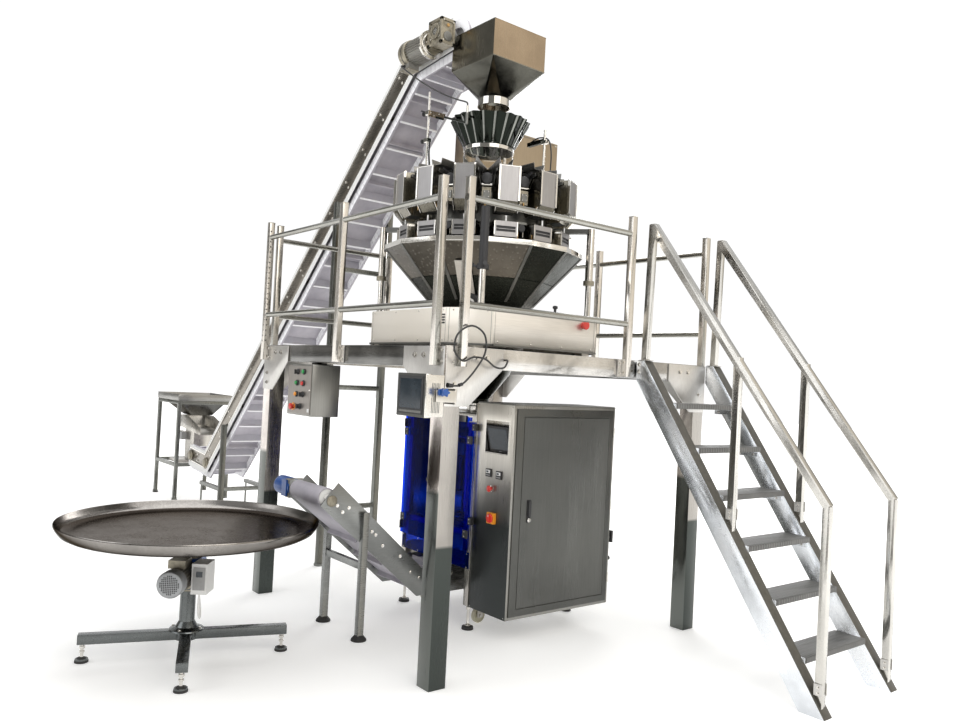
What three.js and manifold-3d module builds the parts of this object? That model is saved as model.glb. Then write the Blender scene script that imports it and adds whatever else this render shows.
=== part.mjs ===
// Vertical form fill sealer line: bag machine with side cabinet, work platform
// with stairs, multi-head weigher, cleated bucket elevator with its feeder,
// take-off conveyor and rotary collecting table. Millimetres, +Z up.
// Every sub-assembly is placed about the platform centre on the floor; the
// whole line is then shifted so that the middle of its bounding box at floor
// level is the origin.
import * as THREE from 'three';
import { mergeVertices } from 'three/addons/utils/BufferGeometryUtils.js';
import Module from 'manifold-3d';

const wasm = await Module();
wasm.setup();

// ---------------------------------------------------------------- dimensions
const GAP = 0.5;            // clearance between touching pieces
const HX = 1120, HY = 1105; // half size of the platform deck
const DECK = 1800;          // deck surface height
const BEAM = 115;           // depth of the deck beams
const LEG = 108;            // square platform leg
const RAIL_LO = 2020, RAIL_HI = 2585, POST_TOP = 2690, POST = 40, RAIL_R = 19;
const RISER = 257, TREAD = 185, STAIR_Y0 = 390, STAIR_Y1 = 1190, STRINGER = 80;
const STAIR_SLOPE = 1800 / 1270;
const MX = 400, MY0 = -300, MY1 = 650, M_TOP = 1400, M_BOT = 155; // bag machine
const CX0 = 405, CX1 = 770, CY0 = -300, CY1 = 610, C_TOP = 1480;  // cabinet
const TUBE_R = 65;          // forming tube
const HEADS = 14;           // weighing heads
const CONE_R = 700, CONE_TOP = 2530;
const EL_Y0 = -290, EL_Y1 = 170;     // elevator width across
const EL_PATH = [[-4900, 565], [-4380, 525], [-620, 3980], [-100, 4030]];
const TO_PATH = [[40, 300], [-530, 300], [-1250, 878]];  // take-off, in Y and Z
const TABLE_R = 700, TABLE_Z = 764, TABLE_AT = [-17, -1972];

// ------------------------------------------------------------------- helpers
const V = (x, y, z) => new THREE.Vector3(x, y, z);
function solid(geometry) {
  const g0 = geometry.clone();
  for (const k of Object.keys(g0.attributes)) if (k !== 'position') g0.deleteAttribute(k);
  const g = mergeVertices(g0, 1e-3);
  const p = g.attributes.position.array, src = g.index.array, tri = [];
  let vol = 0;
  for (let i = 0; i < src.length; i += 3) {
    const [a, b, c] = [src[i], src[i + 1], src[i + 2]];
    if (a === b || b === c || a === c) continue;
    tri.push(a, b, c);
    const A = V(p[3 * a], p[3 * a + 1], p[3 * a + 2]), B = V(p[3 * b], p[3 * b + 1], p[3 * b + 2]);
    vol += A.dot(B.cross(V(p[3 * c], p[3 * c + 1], p[3 * c + 2])));
  }
  if (vol < 0) for (let i = 0; i < tri.length; i += 3) [tri[i + 1], tri[i + 2]] = [tri[i + 2], tri[i + 1]];
  return new wasm.Manifold(new wasm.Mesh({
    numProp: 3, vertProperties: Float32Array.from(p), triVerts: Uint32Array.from(tri),
  }));
}
const join = (...s) => s.flat().reduce((a, b) => a.add(b));
const cut = (a, ...s) => s.flat().reduce((m, b) => m.subtract(b), a);
function box(x0, x1, y0, y1, z0, z1) {
  const g = new THREE.BoxGeometry(x1 - x0, y1 - y0, z1 - z0);
  g.translate((x0 + x1) / 2, (y0 + y1) / 2, (z0 + z1) / 2);
  return solid(g);
}
function rod(a, b, r, n = 16, r2 = r) { // cylinder from a to b
  const A = V(...a), B = V(...b), d = B.clone().sub(A);
  const g = new THREE.CylinderGeometry(r2, r, d.length(), n);
  g.applyQuaternion(new THREE.Quaternion().setFromUnitVectors(V(0, 1, 0), d.clone().normalize()));
  g.translate(...A.add(B).multiplyScalar(0.5).toArray());
  return solid(g);
}
function prism(axis, pts, a, b) { // outline in the plane across the axis
  const shape = new THREE.Shape(pts.map(([u, v]) => new THREE.Vector2(u, v)));
  const g = new THREE.ExtrudeGeometry(shape, { depth: b - a, bevelEnabled: false, steps: 1 });
  if (axis === 'z') g.translate(0, 0, a);
  if (axis === 'y') { g.rotateX(Math.PI / 2); g.translate(0, b, 0); }
  if (axis === 'x') {
    g.applyMatrix4(new THREE.Matrix4().makeBasis(V(0, 1, 0), V(0, 0, 1), V(1, 0, 0)));
    g.translate(a, 0, 0);
  }
  return solid(g);
}
function turned(profile, n = 20, phase = 0) { // [radius, z] pairs about Z
  const pts = [...profile, profile[0]].map(([r, z]) => new THREE.Vector2(r, z));
  const g = new THREE.LatheGeometry(pts, n);
  g.rotateX(Math.PI / 2);
  g.rotateZ(phase);
  return solid(g);
}
function skin(rings) { // closed tube of rings, last ring joins the first
  const n = rings[0].length, pos = [], idx = [];
  rings.forEach((ring) => ring.forEach((q) => pos.push(...q)));
  for (let i = 0; i < rings.length; i++) {
    const j = (i + 1) % rings.length;
    for (let k = 0; k < n; k++) {
      const m = (k + 1) % n;
      idx.push(i * n + k, i * n + m, j * n + k, i * n + m, j * n + m, j * n + k);
    }
  }
  const g = new THREE.BufferGeometry();
  g.setAttribute('position', new THREE.BufferAttribute(Float32Array.from(pos), 3));
  g.setIndex(idx);
  return solid(g);
}
function circleRing(cx, cy, r, z, n = 16) {
  return [...Array(n).keys()].map((i) => {
    const t = 2 * Math.PI * i / n;
    return [cx + r * Math.cos(t), cy + r * Math.sin(t), z];
  });
}
function rectRing(cx, cy, hx, hy, z, n = 16) {
  return [...Array(n).keys()].map((i) => {
    const t = 2 * Math.PI * i / n, c = Math.cos(t), s = Math.sin(t), m = Math.max(Math.abs(c), Math.abs(s));
    return [cx + hx * c / m, cy + hy * s / m, z];
  });
}
function offsetLine(path, d) { // mitred offset of a polyline, to its left
  return path.map((p, i) => {
    const dir = (a, b) => { const l = Math.hypot(b[0] - a[0], b[1] - a[1]); return [(b[0] - a[0]) / l, (b[1] - a[1]) / l]; };
    const e0 = dir(path[Math.max(0, i - 1)], path[Math.max(1, i)]);
    const e1 = dir(path[Math.min(path.length - 2, i)], path[Math.min(path.length - 1, i + 1)]);
    const n0 = [-e0[1], e0[0]], n1 = [-e1[1], e1[0]];
    const k = 1 / (1 + n0[0] * n1[0] + n0[1] * n1[1]);
    return [p[0] + d * (n0[0] + n1[0]) * k, p[1] + d * (n0[1] + n1[1]) * k];
  });
}
function loop(path, r, caps = 6) { // outline of a belt running round both ends
  const a = offsetLine(path, r), b = offsetLine(path, -r), out = [...a];
  const arc = (c, p) => {
    const t0 = Math.atan2(p[1] - c[1], p[0] - c[0]);
    for (let i = 1; i < caps; i++) out.push([c[0] + r * Math.cos(t0 - Math.PI * i / caps), c[1] + r * Math.sin(t0 - Math.PI * i / caps)]);
  };
  arc(path[path.length - 1], a[a.length - 1]);
  out.push(...[...b].reverse());
  arc(path[0], b[0]);
  return out;
}
function along(path, step, from = 0, to = 0) { // stations: point and unit normal
  const out = [];
  let s = -from;
  for (let i = 1; i < path.length; i++) {
    const [a, b] = [path[i - 1], path[i]], l = Math.hypot(b[0] - a[0], b[1] - a[1]);
    const e = [(b[0] - a[0]) / l, (b[1] - a[1]) / l];
    while (s + step * 0.5 < l && !(i === path.length - 1 && s > l - to)) {
      if (s > 60 && s < l - 60) out.push([a[0] + e[0] * s, a[1] + e[1] * s, e]);
      s += step;
    }
    s -= l;
  }
  return out;
}
const cleat = ([x, z, e], a, b, t) => { // bar across the belt, from offset a to b
  const n = [-e[1], e[0]];
  return [[x + n[0] * a - e[0] * t, z + n[1] * a - e[1] * t], [x + n[0] * a + e[0] * t, z + n[1] * a + e[1] * t],
    [x + n[0] * b + e[0] * t, z + n[1] * b + e[1] * t], [x + n[0] * b - e[0] * t, z + n[1] * b - e[1] * t]];
};
function cable(points, r, steps) {
  const section = new THREE.Shape([...Array(8).keys()].map((i) => new THREE.Vector2(r * Math.cos(Math.PI * i / 4), r * Math.sin(Math.PI * i / 4))));
  const curve = new THREE.CatmullRomCurve3(points.map((q) => V(...q)), false, 'centripetal');
  return solid(new THREE.ExtrudeGeometry(section, { steps, bevelEnabled: false, extrudePath: curve }));
}

const finish = (color, roughness, metalness, opacity = 1) => new THREE.MeshStandardMaterial({ color, roughness, metalness, opacity, transparent: opacity < 1 });
const STEEL = finish(0xa8a49c, 0.38, 1), DARK_STEEL = finish(0x6f6f68, 0.42, 1), POLISHED = finish(0xc9c6bf, 0.18, 1);
const BELT = finish(0xe9e8f2, 0.6, 0), BLUE = finish(0x1238b8, 0.1, 0, 0.5), CLEAR = finish(0xdcd8cc, 0.08, 0, 0.35);
const RED = finish(0xc8201c, 0.4, 0), YELLOW = finish(0xe8a020, 0.45, 0), CREAM = finish(0xd8d0b4, 0.5, 0);
const GREY_CAST = finish(0x9b978a, 0.55, 0.7), FILM = finish(0xe6e6e2, 0.25, 0), BLACK = finish(0x17181a, 0.6, 0), BEIGE = finish(0xb9ab90, 0.5, 0.6);

const line = new THREE.Group();
const groups = {};
function put(group, name, manifold, material) {
  const m = manifold.getMesh(), g = new THREE.BufferGeometry();
  g.setAttribute('position', new THREE.BufferAttribute(Float32Array.from(m.vertProperties), 3));
  g.setIndex(new THREE.BufferAttribute(Uint32Array.from(m.triVerts), 1));
  g.computeVertexNormals();
  const mesh = new THREE.Mesh(g, material);
  mesh.name = name;
  if (!groups[group]) { groups[group] = new THREE.Group(); line.add(groups[group]); }
  groups[group].add(mesh);
  return mesh;
}

// ------------------------------------------------------------------ platform
put('platform', 'deck_frame', cut(
  box(-HX, HX, -HY, HY, DECK - BEAM, DECK),
  box(-HX + 80, HX - 80, -HY + 80, HY - 80, DECK - BEAM - 1, DECK - 18),
  rod([0, 0, DECK - 30], [0, 0, DECK + 10], 310, 24),
), STEEL);
for (const [sx, sy, name] of [[1, -1, 'front_right'], [-1, -1, 'front_left'], [1, 1, 'rear_right'], [-1, 1, 'rear_left']]) {
  const ox = sx * (HX + 1), oy = sy * (HY + 1), top = DECK - BEAM - GAP;
  const q = (a, b) => [Math.min(a, b), Math.max(a, b)];
  const outline = (s, o) => [[s * o, DECK - 5], [s * (o - 390), DECK - 5], [s * (o - 390), DECK - BEAM + 3], [s * (o - 158), 1480], [s * o, 1480]];
  put('platform', `leg_${name}`, join(
    box(...q(ox, ox - sx * LEG), ...q(oy, oy - sy * LEG), 0, top),
    prism('y', outline(sx, HX + 1), ...q(sy * (HY + GAP), sy * (HY + 7))),
    prism('x', outline(sy, HY + 1), ...q(sx * (HX + GAP), sx * (HX + 7))),
  ), STEEL);
}
function guard(along_, fixed, posts, r0, r1) { // posts and two pipe rails
  const c = fixed;
  const P = posts.map((t) => (along_ === 'x' ? box(t - 20, t + 20, c - 20, c + 20, 1692, POST_TOP) : box(c - 20, c + 20, t - 20, t + 20, 1692, POST_TOP)));
  const R = [RAIL_LO, RAIL_HI].map((z) => (along_ === 'x' ? rod([r0, c, z], [r1, c, z], RAIL_R, 8) : rod([c, r0, z], [c, r1, z], RAIL_R, 8)));
  return join(P, R);
}
const OY = HY + 27.5 + GAP, OX = HX + 27.5 + GAP;
put('platform', 'guard_rail_front', guard('x', -OY, [1060, 0, -1080], -1095, 1075), STEEL);
put('platform', 'guard_rail_right', guard('y', OX, [-1020, 270], -1036, 286), STEEL);
put('platform', 'guard_rail_rear', guard('x', OY, [1070, 60, -1080], -1095, 1085), STEEL);
put('platform', 'guard_rail_left', guard('y', -OX, [-1030, -70, 1030], -1046, 1046), STEEL);

// stairs go down from the rear end of the right side
const stairTop = (x) => DECK - (x - 1188) * STAIR_SLOPE;
const stringer = [[1128, DECK], [1188, DECK], [2458, 0], [2315, 0], [1128, 1682]];
const treads = [1, 2, 3, 4, 5, 6].map((k) => {
  const z = DECK - RISER * k, x = 1188 + RISER * k / STAIR_SLOPE;
  return box(x - TREAD + 25, x + 25, STAIR_Y0 + STRINGER - 5, STAIR_Y1 - STRINGER + 5, z - 32, z);
});
put('platform', 'staircase', join(
  prism('y', stringer, STAIR_Y0, STAIR_Y0 + STRINGER),
  prism('y', stringer, STAIR_Y1 - STRINGER, STAIR_Y1), treads,
), STEEL);
for (const [name, y] of [['stair_handrail_inner', STAIR_Y0 + 40], ['stair_handrail_outer', STAIR_Y1 - 40]]) {
  const post = (x0, x1, z) => prism('y', [[x0, Math.min(DECK, stairTop(x0)) + 1], [x1, Math.min(DECK, stairTop(x1)) + 1], [x1, z], [x0, z]], y - 20, y + 20);
  put('platform', name, join(
    prism('y', [[1145, DECK + 1], [1185, DECK + 1], [1200, 2655], [1160, 2665]], y - 20, y + 20),
    post(1822, 1862, 1830), post(2388, 2428, 1070),
    prism('y', [[1162, 2632], [1166, 2668], [1206, 2668], [2428, 1077], [2396, 1049]], y - 20, y + 20),
  ), POLISHED);
}

// --------------------------------------------------------------- bag machine
const posts = [];
for (const x of [-MX, MX - 50]) for (const y of [MY0, MY1 - 50]) posts.push(box(x, x + 50, y, y + 50, M_BOT, M_TOP));
const feet = [];
for (const x of [-375, 375]) for (const y of [-272, 622]) feet.push(rod([x, y, 0], [x, y, 20], 38, 16), rod([x, y, 18], [x, y, M_BOT + 5], 10, 8));
const forks = [];
for (const x of [-300, 300]) for (const s of [-1, 1]) forks.push(box(x + s * 22 - 3, x + s * 22 + 3, -152, -102, 40, M_BOT + 30));
put('sealer', 'sealer_frame', cut(join(
  posts, feet, forks,
  cut(box(-MX, MX, MY0, MY1, M_TOP - 15, M_TOP), rod([0, 0, M_TOP - 20], [0, 0, M_TOP + 5], 100, 24)),
  box(-MX, -MX + 50, MY0, MY1, M_BOT, M_BOT + 60), box(MX - 50, MX, MY0, MY1, M_BOT, M_BOT + 60),
  box(-MX + 40, -270, -160, -95, M_BOT, M_BOT + 30), box(270, MX - 40, -160, -95, M_BOT, M_BOT + 30),
  box(-MX, MX, MY1 - 50, MY1, M_BOT, M_BOT + 60),
  box(-MX - 3, -MX + 1, MY0, MY1, M_BOT + 60, M_TOP),
  box(-MX + 5, -MX + 45, MY0, MY1, 600, 640), box(MX - 45, MX - 5, MY0, MY1, 600, 640),
  box(-MX + 5, MX - 5, -292, -268, 600, 640), box(-MX + 5, MX - 5, 300, 320, 600, 640),
  rod([-240, -270, 620], [-240, 302, 620], 14, 12), rod([240, -270, 620], [240, 302, 620], 14, 12),
  box(-345, 345, 262, 274, 720, M_TOP - 10),
  box(-MX + 10, -MX + 40, 420, MY1, 430, 470), box(MX - 40, MX - 10, 420, MY1, 430, 470),
  rod([-370, 500, 450], [370, 500, 450], 20, 12),
  box(-MX + 5, -346, 540, 610, 880, 920), box(346, MX - 5, 540, 610, 880, 920),
  box(-388, 388, -306, -299.5, 395, 500),
)), STEEL);
const bore = (x, y) => rod([x, y - 60, 620], [x, y + 60, 620], 16, 16);
for (const [name, s] of [['jaw_front', -1], ['jaw_rear', 1]]) {
  const q = (a, b) => [Math.min(s * a, s * b), Math.max(s * a, s * b)];
  put('sealer', name, cut(join(box(-275, 275, ...q(90, 150), 590, 650), box(-170, 170, ...q(50, 91), 600, 640)),
    bore(-240, s * 120), bore(240, s * 120)), DARK_STEEL);
}
put('sealer', 'forming_tube', cut(join(
  rod([0, 0, 700], [0, 0, 1438], TUBE_R, 16), turned([[60, 1150], [155, 1300], [148, 1300], [58, 1166]], 16),
  box(-30, 30, 60, 261.5, 1095, 1130),
), rod([0, 0, 690], [0, 0, 1450], TUBE_R - 4, 16)), POLISHED);
for (const [name, s] of [['pull_belt_left', -1], ['pull_belt_right', 1]]) {
  put('sealer', name, join(
    prism('y', loop([[s * 115, 850], [s * 115, 1050]], 29, 6), -28, 28),
    box(Math.min(s * 100, s * 130), Math.max(s * 100, s * 130), 20, 261, 930, 970),
  ), BLACK);
}
put('sealer', 'film_roll', cut(rod([-250, 500, 450], [250, 500, 450], 138, 32), rod([-260, 500, 450], [260, 500, 450], 25, 20)), FILM);
put('sealer', 'dancer_bar', join(
  prism('x', [[574, 886], [574, 914], [546, 914], [406, 834], [406, 806], [434, 806]], -334, -322),
  prism('x', [[574, 886], [574, 914], [546, 914], [406, 834], [406, 806], [434, 806]], 322, 334),
  rod([-334, 420, 820], [334, 420, 820], 18, 14), rod([-345, 560, 900], [345, 560, 900], 10, 10),
), POLISHED);
put('sealer', 'guard_door_left', box(-390, -1.5, -328, -316, 505, 1345), BLUE);
put('sealer', 'guard_door_right', box(1.5, 390, -328, -316, 505, 1345), BLUE);
for (const [name, x] of [['caster_wheel_left', -300], ['caster_wheel_right', 300]])
  put('sealer', name, rod([x - 15, -127, 52], [x + 15, -127, 52], 50, 20), CREAM);

const W = 12;
put('sealer', 'side_cabinet', cut(
  join(
    cut(box(CX0, CX1, CY0, CY1, M_BOT, C_TOP), box(CX0 + W, CX1 - W, CY0 + W, CY1 - W, M_BOT + W, C_TOP - W)),
    box(480, 742, CY0, -222, 1150, 1388),
  ),
  box(495, 727, CY0 - 1, -230, 1166, 1372),
  box(CX1 - 30, CX1 + 1, CY0 + 50, CY1 - 50, M_BOT + 50, C_TOP - 50),
), STEEL);
put('sealer', 'cabinet_door', box(CX1 + GAP, CX1 + 18, CY0 + 20, CY1 - 20, M_BOT + 20, C_TOP - 20), STEEL);
put('sealer', 'mains_switch', join(
  rod([606, CY0 - GAP, 762], [606, CY0 - 16, 762], 30, 20), box(598, 614, CY0 - 38, CY0 - 15, 738, 786),
), RED);
put('sealer', 'stop_button', join(rod([583, CY0 - 5.5, 944], [583, CY0 - 18, 944], 12, 16), rod([583, CY0 - 17, 944], [583, CY0 - 30, 944], 20, 20)), RED);

// ------------------------------------------------------------------- weigher
const oct = (hx, hy, cx, cy) => [[hx, -hy + cy], [hx, hy - cy], [hx - cx, hy], [-hx + cx, hy], [-hx, hy - cy], [-hx, -hy + cy], [-hx + cx, -hy], [hx - cx, -hy]];
const baseFeet = [];
for (const sx of [-1, 1]) for (const sy of [-1, 1]) baseFeet.push(box(sx * 560 - 35, sx * 560 + 35, sy * 470 - 35, sy * 470 + 35, DECK + GAP, 2060));
put('weigher', 'weigher_base', join(
  cut(prism('z', oct(700, 620, 250, 170), 1850, 2070), prism('z', oct(688, 608, 246, 167), 1840, 2058), rod([0, 0, 2040], [0, 0, 2080], 300, 16)),
  cut(rod([0, 0, 1850], [0, 0, 2065], 316, 16), rod([0, 0, 1840], [0, 0, 2080], 300, 16)), baseFeet,
), STEEL);
put('weigher', 'weigher_cone', turned([[292, 2074], [380, 2160], [CONE_R, 2500], [CONE_R, CONE_TOP], [CONE_R - 7, CONE_TOP], [CONE_R - 7, 2503], [374, 2164], [286, 2078]], HEADS, Math.PI / HEADS), STEEL);
const core = [rod([0, 0, 2600], [0, 0, 3012], 380, 20), rod([0, 0, 3010], [0, 0, 3075], 230, 14), rod([0, 0, 3070], [0, 0, 3140], 185, 14, 8)];
for (const [sx, sy] of [[1, -1], [1, 1], [-1, 1], [-1, -1]]) {
  core.push(rod([sx * 593, sy * 471, 2070 + GAP], [sx * 593, sy * 471, 2706], 28, 16));
  const a = box(300, 757, -20, 20, 2670, 2706);
  core.push(a.rotate([0, 0, Math.atan2(sy * 471, sx * 593) * 180 / Math.PI]));
}
for (let i = 0; i < HEADS; i++) core.push(box(150, 530, -42, 42, 3030, 3078).rotate([0, 0, 360 * i / HEADS]));
core.push(box(340, 480, -20, 20, 3001, 3012).rotate([0, 0, -140.4]));
put('weigher', 'weigher_core', join(core), DARK_STEEL);
const hopperRing = (outline, half, z0, z1) => join(
  cut(rod([0, 0, z0], [0, 0, z1], 456, 14), rod([0, 0, z0 - 5], [0, 0, z1 + 5], 404, 14)),
  [...Array(HEADS).keys()].map((i) => prism('y', outline, -half, half).rotate([0, 0, 360 * i / HEADS])),
);
put('weigher', 'feed_hopper_ring', hopperRing([[440, 3000], [640, 3000], [652, 2985], [652, 2850], [560, 2715], [500, 2715], [440, 2850]], 72, 2830, 2870), STEEL);
put('weigher', 'weigh_hopper_ring', hopperRing([[440, 2660], [612, 2660], [612, 2580], [560, 2515], [480, 2515], [440, 2580]], 78, 2600, 2630), STEEL);
put('weigher', 'funnel_cylinder', join(
  turned([[172, 3145], [178, 3145], [178, 3272], [172, 3272]], 28),
  [0, 1, 2].map((i) => box(172, 186, -8, 8, 3079, 3180).rotate([0, 0, 360 * (5 * i) / HEADS])),
), CLEAR);
put('weigher', 'top_funnel', turned([[184, 3273], [288, 3466], [283, 3466], [178, 3273]], 28), POLISHED);
put('weigher', 'discharge_chute', turned([[92, 1440], [92, 1492], [228, 1668], [288, 1832], [288, 1847], [282, 1847], [282, 1834], [223, 1671], [87, 1495], [87, 1440]], 16), STEEL);
put('weigher', 'control_housing', join(box(-560, -350, 110, 1000, 3130, 3595), rod([-430, 810, DECK + GAP], [-430, 810, 3135], 24, 12), rod([-430, 810, DECK + GAP], [-430, 810, DECK + 12], 60, 16)), BEIGE);
put('weigher', 'level_sensor', join(
  rod([-355, -294, 3012 + GAP], [-355, -294, 3700], 9, 10), box(0, 215, -6, 6, -22, 22).rotate([0, 20.2, 0]).translate([-355, -296, 3545]),
  rod([-355, -294, 3520], [-355, -294, 3570], 18, 12), rod([-355, -296, 3545], [120, -300, 3370], 8, 10), rod([120, -300, 3362], [120, -300, 3490], 10, 12),
), STEEL);

// ------------------------------------------------------------------ elevator
const fl = along(EL_PATH, 400, 200, 0);
put('elevator', 'elevator_belt', join(
  cut(prism('y', loop(EL_PATH, 83), -250, 130), prism('y', loop(EL_PATH, 75), -260, 140)),
  cut(prism('y', loop(EL_PATH, 140, 7), -254, -236), prism('y', loop(EL_PATH, 76), -260, 140)),
  cut(prism('y', loop(EL_PATH, 140, 7), 116, 134), prism('y', loop(EL_PATH, 76), -260, 140)),
  fl.map((s) => prism('y', cleat(s, 82, 130, 5), -238, 118)), fl.map((s) => prism('y', cleat(s, -130, -82, 5), -238, 118)),
), BELT);
const sheet = [...offsetLine(EL_PATH, 112), ...[...offsetLine(EL_PATH, -42)].reverse()].map(([x, z]) => [Math.min(x, -104), z]);
put('elevator', 'elevator_frame', join(
  prism('y', sheet, EL_Y0, EL_Y0 + 6), prism('y', sheet, EL_Y1 - 6, EL_Y1),
  along(EL_PATH, 900, 250, 300).map(([x, z]) => rod([x, EL_Y0 + 2, z], [x, EL_Y1 - 2, z], 20, 10)),
), STEEL);
put('elevator', 'elevator_drum', join(rod([-100, -248, 4030], [-100, 128, 4030], 71, 20), rod([-100, -282, 4030], [-100, 162, 4030], 16, 12)), DARK_STEEL);
put('elevator', 'elevator_gearmotor', join(
  box(-196, -41, -440, -320, 3935, 4115), rod([-118, -325, 4025], [-118, -291, 4025], 58, 16), rod([-195, -394, 3975], [-216, -394, 3975], 78, 16),
  rod([-214, -394, 3975], [-236, -394, 3975], 102, 20), rod([-235, -394, 3975], [-530, -394, 3975], 97, 20), box(-530, -420, -445, -355, 3850, 3900),
), GREY_CAST);
const standZ = (x) => 525 + (x + 4380) * (3980 - 525) / 3760; // belt centre height on the incline
function stand(x, braces, pads) {
  const zt = standZ(x) - 10, w = 25;
  return join(
    box(x - w, x + w, EL_Y0 - 51, EL_Y0 - 1, 20, zt), box(x - w, x + w, EL_Y1 + 1, EL_Y1 + 51, 20, zt),
    braces.map((z) => box(x - 20, x + 20, EL_Y0 - 30, EL_Y1 + 30, z - 20, z + 20)),
    rod([x, EL_Y0 - 26, 0], [x, EL_Y0 - 26, 21], 40, 16), rod([x, EL_Y1 + 26, 0], [x, EL_Y1 + 26, 21], 40, 16),
  );
}
put('elevator', 'elevator_stand_upper', stand(-1610, [480, 1500, 2500], true), STEEL);
put('elevator', 'elevator_stand_lower', join(
  stand(-3840, [330], true), box(-4420, -3830, EL_Y0 - 46, EL_Y0 - 6, 310, 350), box(-4420, -3830, EL_Y1 + 6, EL_Y1 + 46, 310, 350),
  rod([-4400, EL_Y0 - 26, 0], [-4400, EL_Y0 - 26, 20], 36, 14), rod([-4400, EL_Y0 - 26, 18], [-4400, EL_Y0 - 26, 320], 10, 8),
  rod([-4400, EL_Y1 + 26, 0], [-4400, EL_Y1 + 26, 20], 36, 14), rod([-4400, EL_Y1 + 26, 18], [-4400, EL_Y1 + 26, 320], 10, 8),
), STEEL);
put('elevator', 'head_hopper', cut(skin([
  circleRing(30, 0, 110, 3570), circleRing(30, 0, 110, 3620), rectRing(130, -60, 230, 230, 3780), rectRing(130, -60, 230, 230, 4022),
  rectRing(130, -60, 226, 226, 4022), rectRing(130, -60, 226, 226, 3782), circleRing(30, 0, 106, 3622), circleRing(30, 0, 106, 3570),
]), box(-110, -90, -285, 165, 3800, 4100)), STEEL);

// -------------------------------------------------------------------- feeder
const FX0 = -6030, FX1 = -5270, FY = 330;
const fLegs = [];
for (const x of [FX0, FX1 - 40]) for (const y of [-FY, FY - 40]) fLegs.push(box(x, x + 40, y, y + 40, 30, 1186), rod([x + 20, y + 20, 0], [x + 20, y + 20, 31], 30, 12));
put('feeder', 'feeder_stand', join(
  fLegs,
  [[400, 440], [1146, 1186]].map(([a, b]) => cut(box(FX0, FX1, -FY, FY, a, b), box(FX0 + 40, FX1 - 40, -FY + 40, FY - 40, a - 1, b + 1))),
), STEEL);
const fc = (FX0 + FX1) / 2;
put('feeder', 'feeder_hopper', skin([
  rectRing(fc + 130, 0, 130, 130, 1010), rectRing(fc, 0, 330, 280, 1180), rectRing(fc, 0, 330, 280, 1188), rectRing(fc, 0, 385, 335, 1188), rectRing(fc, 0, 385, 335, 1265),
  rectRing(fc, 0, 379, 329, 1265), rectRing(fc, 0, 379, 329, 1194), rectRing(fc, 0, 324, 274, 1194), rectRing(fc + 130, 0, 125, 125, 1014),
]), STEEL);
put('feeder', 'feeder_pan', cut(join(
  prism('y', [[-5680, 860], [-5680, 1000], [-5400, 1000], [-4960, 880], [-4960, 800]], -160, 160),
  box(-5600, -5300, -110, 110, 443, 845), box(-5620, -5280, -330 + 42, 330 - 42, 445, 475)),
  prism('y', [[-5674, 868], [-5674, 1010], [-5400, 1010], [-4950, 890], [-4950, 807]], -154, 154)), STEEL);

// ----------------------------------------------------------- take-off conveyor
const cheek = [[-1184, 965], [-541, 389], [80, 389], [80, 212], [-574, 212], [-1298, 833]];
const tf = along(TO_PATH, 250, 110, 0);
put('takeoff', 'takeoff_belt', join(
  cut(prism('x', loop(TO_PATH, 58, 10), -190, 190), prism('x', loop(TO_PATH, 51, 10), -200, 200)),
  tf.map((s) => prism('x', cleat(s, 57, 88, 4), -180, 180)), tf.map((s) => prism('x', cleat(s, -80, -57, 4), -180, 180)),
), BELT);
put('takeoff', 'takeoff_frame', join(
  prism('x', cheek, 204, 210), prism('x', cheek, -210, -204),
  [[-60, 300], [-400, 300], [-750, 476], [-1050, 717]].map(([y, z]) => rod([-206, y, z], [206, y, z], 16, 10)),
  box(208, 248, -1020, -980, 20, 780), box(-248, -208, -1020, -980, 20, 780), box(-210, 210, -1015, -985, 430, 470),
  rod([228, -1000, 0], [228, -1000, 21], 30, 14), rod([-228, -1000, 0], [-228, -1000, 21], 30, 14),
  box(-270, -208, -1300, -1190, 820, 935), rod([-269, -1250, 878], [-420, -1250, 878], 60, 20),
), STEEL);
put('takeoff', 'takeoff_roller', join(rod([-188, -1250, 878], [188, -1250, 878], 49.5, 24), rod([-203, -1250, 878], [203, -1250, 878], 12, 12)), DARK_STEEL);

// --------------------------------------------------------------- rotary table
const arms = [-20.9, 70.6, 160, 250.7].flatMap((a) => {
  const c = Math.cos(a * Math.PI / 180), s = Math.sin(a * Math.PI / 180);
  return [box(0, 550, -30, 30, 100, 150).rotate([0, 0, a]), rod([525 * c, 525 * s, 18], [525 * c, 525 * s, 102], 9, 8), rod([525 * c, 525 * s, 0], [525 * c, 525 * s, 20], 34, 14)];
});
put('table', 'table_base', join(arms, rod([0, 0, 99], [0, 0, 152], 60, 20), rod([0, 0, 150], [0, 0, 400], 42, 20), rod([0, 0, 388], [0, 0, 400], 85, 20)), STEEL);
put('table', 'table_gearmotor', join(
  box(-65, 65, -65, 65, 400 + GAP, 556), rod([60, 0, 470], [120, 0, 470], 60, 20), rod([118, 0, 470], [310, 0, 470], 72, 24),
  box(-60, 60, 60, 150, 430, 540),
).rotate([0, 0, -38]), GREY_CAST);
put('table', 'table_disc', turned([[0, 557], [32, 557], [32, 640], [120, 660], [120, 692], [650, 696], [TABLE_R, 742], [TABLE_R, TABLE_Z], [TABLE_R - 8, TABLE_Z], [TABLE_R - 8, 746], [646, 703], [0, 703]], 32), STEEL);
groups.table.position.set(TABLE_AT[0], TABLE_AT[1], 0);

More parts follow.
